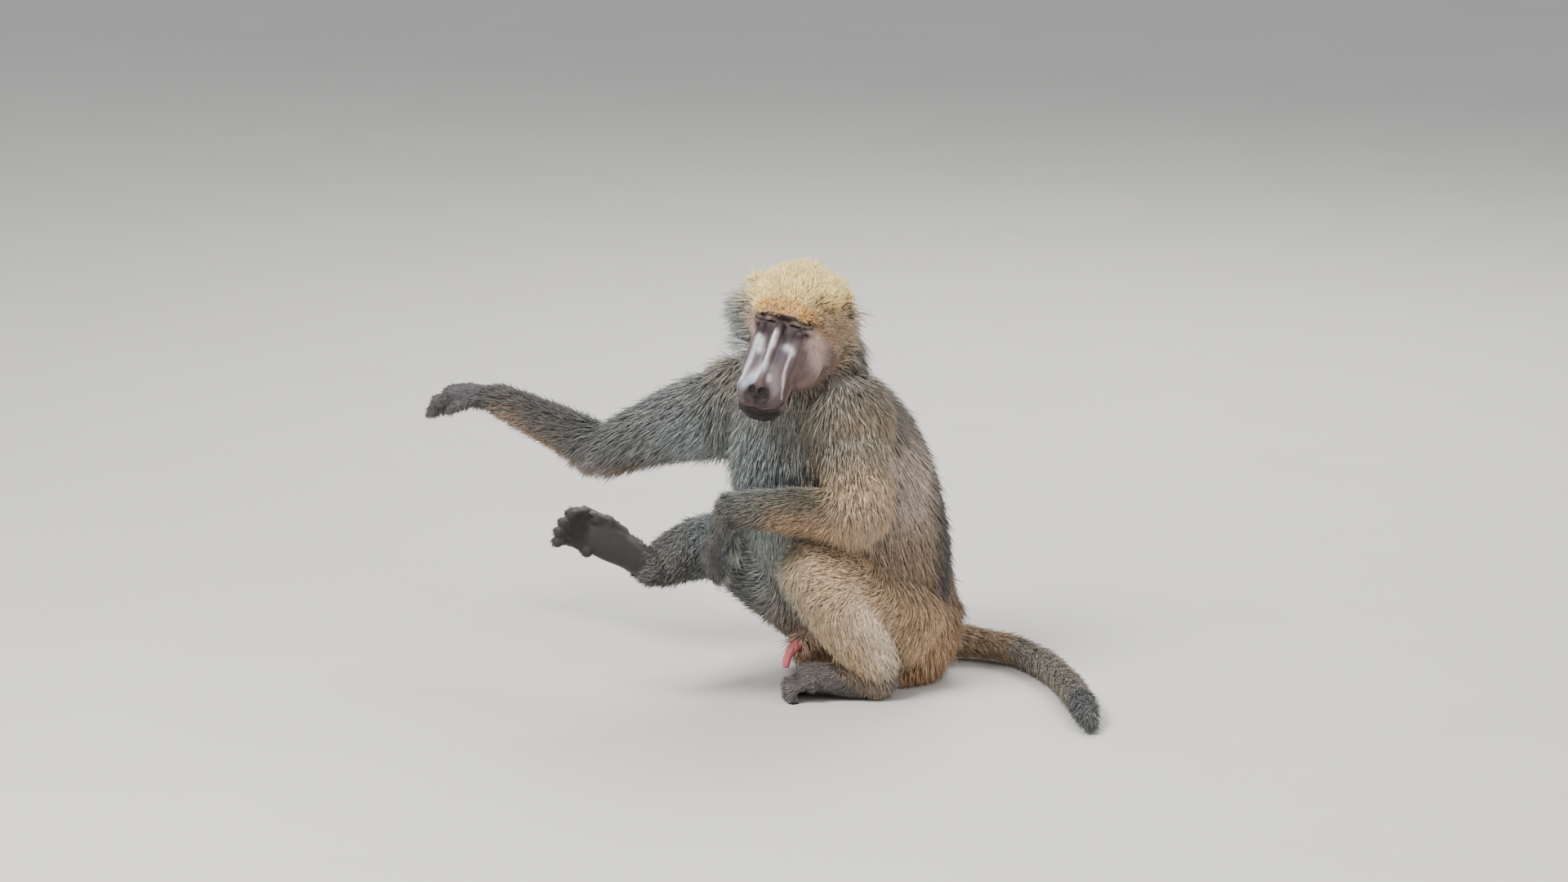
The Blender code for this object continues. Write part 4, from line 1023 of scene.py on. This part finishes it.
def floor_finish():
    nodes = Nodes("floor")
    place = nodes.add("TexCoord", "Object")
    cloud = nodes.noise(place, 3.0, 4.0)
    colour = nodes.blend(cloud, plain(tone("d6d2ca")), plain(tone("dedad3")))
    return nodes.finish(Base_Color=colour, Roughness=0.85)


def set_tint(data, colours):
    """Stores one colour for each point of the mesh."""
    layer = data.attributes.new("tint", "FLOAT_COLOR", "POINT")
    solid = np.column_stack((colours, np.ones(len(colours))))
    layer.data.foreach_set("color", solid.astype(np.float32).ravel())


def set_share(data, name, values):
    layer = data.attributes.new(name, "FLOAT", "POINT")
    layer.data.foreach_set("value", values.astype(np.float32))


def finish_piece(thing, material):
    """Moves a finished mesh into the solids' frame and fixes it to the model."""
    thing.data.transform(Matrix.Translation(-ORIGIN))
    thing.data.materials.clear()
    thing.data.materials.append(material)
    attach(thing, "root")


# The coat.


def unit(vectors):
    return vectors / np.maximum(np.linalg.norm(vectors, axis=1), 1e-9)[:, None]


def lie_of_coat(here, draw):
    """The way that hair leaves the skin, its length, its width and its lift at each point."""
    held, normals, head = here.held, here.normals, here.head
    flow = held @ np.array([unit((part.b - part.a)[None])[0] for part in PARTS])
    hang = here.share("shoulders") + here.share("trunk") + here.share("loins")
    flow += hang[:, None] * np.array([0.0, 0.0, -0.9]) + np.array([0.0, 0.0, -0.25])
    lift = held @ np.array([part.lift for part in PARTS])
    length = held @ np.array([part.length for part in PARTS])
    width = held @ np.array([part.width for part in PARTS])
    axes = [row(axis) for axis in HEAD_AXES]
    crown = ramp(here.above, -0.2, 0.8) * ramp(here.up, -3.5, -1.0) * head
    upright = axes[2] * 0.4 - axes[0] * 0.55 + normals * 0.5
    ruff = -axes[0] * 0.8 + axes[1] * np.sign(here.left)[:, None] * 0.25 - axes[2] * 0.42
    far = here.far
    flow = mix(flow, ruff, head)
    flow = mix(flow, upright, crown)
    outward = np.tile(-axes[1] - axes[2] * 0.3, (len(flow), 1))
    flow = mix(flow, outward, far * 0.7)
    fringe = crown * (1 - ramp(here.above, 0.3, 2.2))
    lift = lift * (1 - head) + head * (0.32 + crown * 1.5 * (1 - 0.85 * fringe)) + far * (1 - crown) * 1.1
    sides = crown * ramp(here.left, 3.5, 7.0) * ramp(-here.up, -2.5, 0.0)
    lower = ramp(np.abs(here.left), 1.0, 4.5)
    reach = 0.046 - crown * (0.02 + 0.007 * lower) - fringe * 0.01 + sides * 0.014
    length = length * (1 - head) + head * reach
    cheek = head * (1 - crown) * (1 - ramp(-here.forward, 5.0, 8.5)) * (1 - 0.7 * ramp(-here.up, 8.0, 11.0))
    length *= 1 - cheek * 0.66 * (1 - far)
    throat = head * ramp(here.forward, -4.0, -1.0) * (1 - crown)
    length = length * (1 - throat) + throat * 0.01
    length += far * ramp(-here.up, -1.5, 1.0) * 0.026
    length = length * (1 - here.bare) + here.bare * 0.0065
    width = width * (1 - here.bare) + here.bare * 0.0011
    lift = lift * (1 - here.bare * 0.5)
    flow = unit(flow)
    facing = np.abs(np.sum(flow * normals, axis=1))
    flow = mix(flow, np.tile([0.1, 0.1, -1.0], (len(flow), 1)), ramp(facing, 0.5, 0.95) * (1 - head))
    flat = unit(flow - normals * np.sum(flow * normals, axis=1)[:, None])
    clump = np.column_stack([wander(here.points, 0.016, seed) for seed in (21, 22, 23)])
    stray = draw.normal(size=flat.shape) * 0.16 + clump * (0.12 + 0.3 * crown)[:, None]
    way = unit(flat + stray + normals * (lift * draw.uniform(0.6, 1.5, len(flow)))[:, None])
    length = length * draw.uniform(0.72, 1.18, len(flow))
    return way, length, width * draw.uniform(0.75, 1.25, len(flow)), lift


def tuft_meshes(name, roots, normals, ways, lengths, widths, colours, maps, bends, draw):
    """Joined tapered tufts of hair: three-sided, closed, and bent back along the body."""
    count = len(roots)
    across = unit(np.cross(normals, ways) + draw.normal(size=roots.shape) * 0.15)
    top = unit(np.cross(ways, across))
    stations = ((0.0, 0.85), (0.46, 1.0))
    points = np.empty((count, 7, 3))
    tints = np.empty((count, 7, 3))
    for s, (t, wide) in enumerate(stations):
        centre = roots - normals * 0.0015 + ways * (lengths * t)[:, None] + bends * (lengths * t * t)[:, None]
        half = (widths * wide / 2)[:, None]
        points[:, 3 * s] = centre - across * half
        points[:, 3 * s + 1] = centre + across * half
        points[:, 3 * s + 2] = centre + top * half * 0.8
        tints[:, 3 * s : 3 * s + 3] = colours[s][:, None]
    points[:, 6] = roots + ways * lengths[:, None] + bends * lengths[:, None]
    tints[:, 6] = colours[2]
    points[:, :, 2] = np.maximum(points[:, :, 2], TUFT_LOW)
    faces = [(0, 2, 1)]
    spots = [((0.1, 0.0), (0.5, 0.12), (0.9, 0.0))]
    for side in range(3):
        b = (side + 1) % 3
        u0, u1 = side / 3, (side + 1) / 3
        faces += [(side, b, b + 3), (side, b + 3, side + 3), (3 + side, 3 + b, 6)]
        spots += [((u0, 0.14), (u1, 0.14), (u1, 0.55)), ((u0, 0.14), (u1, 0.55), (u0, 0.55)),
                  ((u0, 0.55), (u1, 0.55), ((u0 + u1) / 2, 1.0))]
    faces = np.array(faces)
    spots = (np.array(spots) - 0.5) * PATCH
    corners = (np.arange(count)[:, None, None] * 7 + faces[None]).reshape(-1)
    placed = np.clip(maps[:, None, None] + spots[None], 0.0005, 0.9995).reshape(-1, 2)
    data = bpy.data.meshes.new(name)
    total = count * len(faces)
    data.vertices.add(count * 7)
    data.vertices.foreach_set("co", points.astype(np.float32).ravel())
    data.loops.add(total * 3)
    data.loops.foreach_set("vertex_index", corners.astype(np.int32))
    data.polygons.add(total)
    data.polygons.foreach_set("loop_start", np.arange(0, total * 3, 3, dtype=np.int32))
    data.uv_layers.new(name="OFBake").data.foreach_set("uv", placed.astype(np.float32).ravel())
    data.update(calc_edges=True)
    set_tint(data, tints.reshape(-1, 3))
    data.shade_smooth()
    made = bpy.data.objects.new(name, data)
    bpy.context.scene.collection.objects.link(made)
    return made


def grow_coat(skin, material):
    """Covers the skin with tufts, thickest on the head, and gives each part of the body its own pieces."""
    draw = np.random.default_rng(SEED)
    data = skin.data
    data.calc_loop_triangles()
    count = len(data.loop_triangles)
    corners = read(data.loop_triangles, "vertices", kind=np.int32)
    loops = read(data.loop_triangles, "loops", kind=np.int32)
    flat = read(data.uv_layers["OFBake"].data, "uv", 2)
    points, normals = points_of(data), normals_of(data)
    a, b, c = (points[corners[:, k]] for k in range(3))
    area = np.linalg.norm(np.cross(b - a, c - a), axis=1) / 2
    middles = (a + b + c) / 3
    there = Survey(middles, normals[corners[:, 0]], face_tree)
    growth = there.held @ np.array([part.growth for part in PARTS])
    growth *= np.maximum(1 - there.bare, 0.8 * there.cheek) * (1 - there.pink) * (1 - 0.9 * there.ear)
    growth *= (middles[:, 2] > HAIR_LOW) * (1 + 1.2 * there.far)
    sole = ramp(there.normals @ SOLE_OUT, 0.0, 0.3) * there.share("foot_right")
    growth *= 1 - ramp(there.ends, 0.6, 0.9) * 0.35 - ramp(there.ends, 0.6, 0.9) * 0.65 * ramp(sole, 0.0, 0.5)
    reached = np.cumsum(area * growth)
    chosen = np.searchsorted(reached, (np.arange(TUFTS) + draw.random(TUFTS)) / TUFTS * reached[-1])
    chosen = np.minimum(chosen, count - 1)
    r = np.sqrt(draw.random(TUFTS))
    s = draw.random(TUFTS)
    weights = np.column_stack((1 - r, r * (1 - s), r * s))
    roots = np.einsum("nk,nkd->nd", weights, points[corners[chosen]])
    ups = unit(np.einsum("nk,nkd->nd", weights, normals[corners[chosen]]))
    maps = np.einsum("nk,nkd->nd", weights, flat[loops[chosen]])
    here = Survey(roots, ups, face_tree)
    ways, lengths, widths, lift = lie_of_coat(here, draw)
    bends = -ups * (0.42 * lift / (1 + lift**3))[:, None] + np.array([0.0, 0.0, -0.1])
    bends = bends + draw.normal(size=roots.shape) * 0.05
    low, middle, high = paint_coat(here)
    low, middle, high = (mix(shade, CHEEK_HAIR, here.cheek * 0.8) for shade in (low, middle, high))
    ticked = np.clip(0.5 + 0.35 * wander(roots, 0.012, 3) + draw.normal(size=TUFTS) * 0.36, 0, 1)
    light = (0.74 + 0.52 * draw.random(TUFTS))[:, None]
    colours = [mix(low, middle, 0.25 * ticked) * light, mix(middle, high, ticked * 0.8) * light,
               mix(middle, high, ticked) * light]
    keeps = here.held.argmax(axis=1)
    groups = {}
    for k, part in enumerate(PARTS):
        groups.setdefault(part.name, np.zeros(TUFTS, dtype=bool))
        groups[part.name] |= keeps == k
    for name, members in groups.items():
        members = np.flatnonzero(members)
        if not len(members):
            continue
        pieces = math.ceil(len(members) * 10 / PIECE_LIMIT)
        for number in range(pieces):
            some = members[number::pieces]
            title = f"coat_{name}" if pieces == 1 else f"coat_{name}_{number + 1}"
            made = tuft_meshes(title, roots[some], ups[some], ways[some], lengths[some], widths[some],
                               [colour[some] for colour in colours], maps[some], bends[some], draw)
            finish_piece(made, material)


def make_eyes(material):
    for hand, word in ((1, "left"), (-1, "right")):
        eye = object_of(f"eyeball_{word}", ball(eye_centre(hand), (EYE_RADIUS,) * 3, sides=64))
        gaze = (HEAD_FORWARD - HEAD_UP * 0.3 + HEAD_LEFT * hand * 0.05).normalized()
        aside = points_of(eye.data) - row(eye_centre(hand))
        turn = np.degrees(np.arccos(np.clip(aside @ row(gaze) / EYE_RADIUS, -1, 1)))
        colours = np.tile(tone("4a3a30"), (len(turn), 1))
        colours = mix(colours, tone("8a5a28"), 1 - ramp(turn, 31, 34))
        colours = mix(colours, tone("0c0807"), 1 - ramp(turn, 12, 15))
        set_tint(eye.data, colours)
        eye.data.shade_smooth()
        finish_piece(eye, material)
        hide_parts(f"eye_{word}")


def make_nails(material):
    """A curved nail on the end of each finger and toe."""
    forms = []
    for tip, along, top, radius in digits.ends:
        across = along.cross(top)
        forms.append(ball(tip + along * radius * 0.5 + top * radius * 0.52,
                          (radius * 0.95, radius * 0.66, radius * 0.42), (along, across, top), 16))
    nails = joined("nails", forms)
    for vertex in nails.data.vertices:
        vertex.co.z = max(vertex.co.z, NAIL_LOW)
    nails.data.shade_smooth()
    finish_piece(nails, material)


def light_and_floor():
    bpy.ops.mesh.primitive_plane_add(size=80.0)
    floor = bpy.context.object
    floor.name = "floor"
    floor.data.materials.append(floor_finish())
    for name, place, size, power in (
        ("key", (-2.2, -2.6, 4.2), 1.8, 370.0),
        ("fill", (3.2, -2.6, 2.4), 3.0, 75.0),
        ("back", (1.0, 3.2, 3.6), 2.6, 180.0),
    ):
        lamp = bpy.data.lights.new(name, "AREA")
        lamp.size = size
        lamp.energy = power
        held = bpy.data.objects.new(name, lamp)
        held.location = place
        held.rotation_euler = (at(0, 0, 0.35) - Vector(place)).to_track_quat("-Z", "Y").to_euler()
        bpy.context.scene.collection.objects.link(held)
    world = bpy.context.scene.world or bpy.data.worlds.new("studio")
    bpy.context.scene.world = world
    world.use_nodes = True
    world.node_tree.nodes["Background"].inputs["Color"].default_value = (0.8, 0.84, 0.9, 1.0)
    world.node_tree.nodes["Background"].inputs["Strength"].default_value = 0.58


def set_camera():
    target = CAMERA_TARGET - ORIGIN
    down = math.radians(CAMERA_DOWN)
    lens = bpy.data.cameras.new("camera")
    lens.lens = CAMERA_LENS
    lens.sensor_width = 36
    camera = bpy.data.objects.new("camera", lens)
    camera.location = target - Vector((0, math.cos(down), -math.sin(down))) * CAMERA_AWAY
    camera.rotation_euler = (math.pi / 2 - down, 0, 0)
    bpy.context.scene.collection.objects.link(camera)
    bpy.context.scene.camera = camera


set_camera()
light_and_floor()
skin, face_tree = build_skin()
unwrap(skin)
seen = Survey(points_of(skin.data), normals_of(skin.data), face_tree)
set_tint(skin.data, paint_skin(seen))
set_share(skin.data, "bare", np.maximum(seen.bare, ramp(seen.ends, 0.4, 0.8)))
grow_coat(skin, coat_finish())
finish_piece(skin, skin_finish())
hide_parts(*[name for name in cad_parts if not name.startswith("eye_")])
make_eyes(eye_finish())
make_nails(nail_finish())
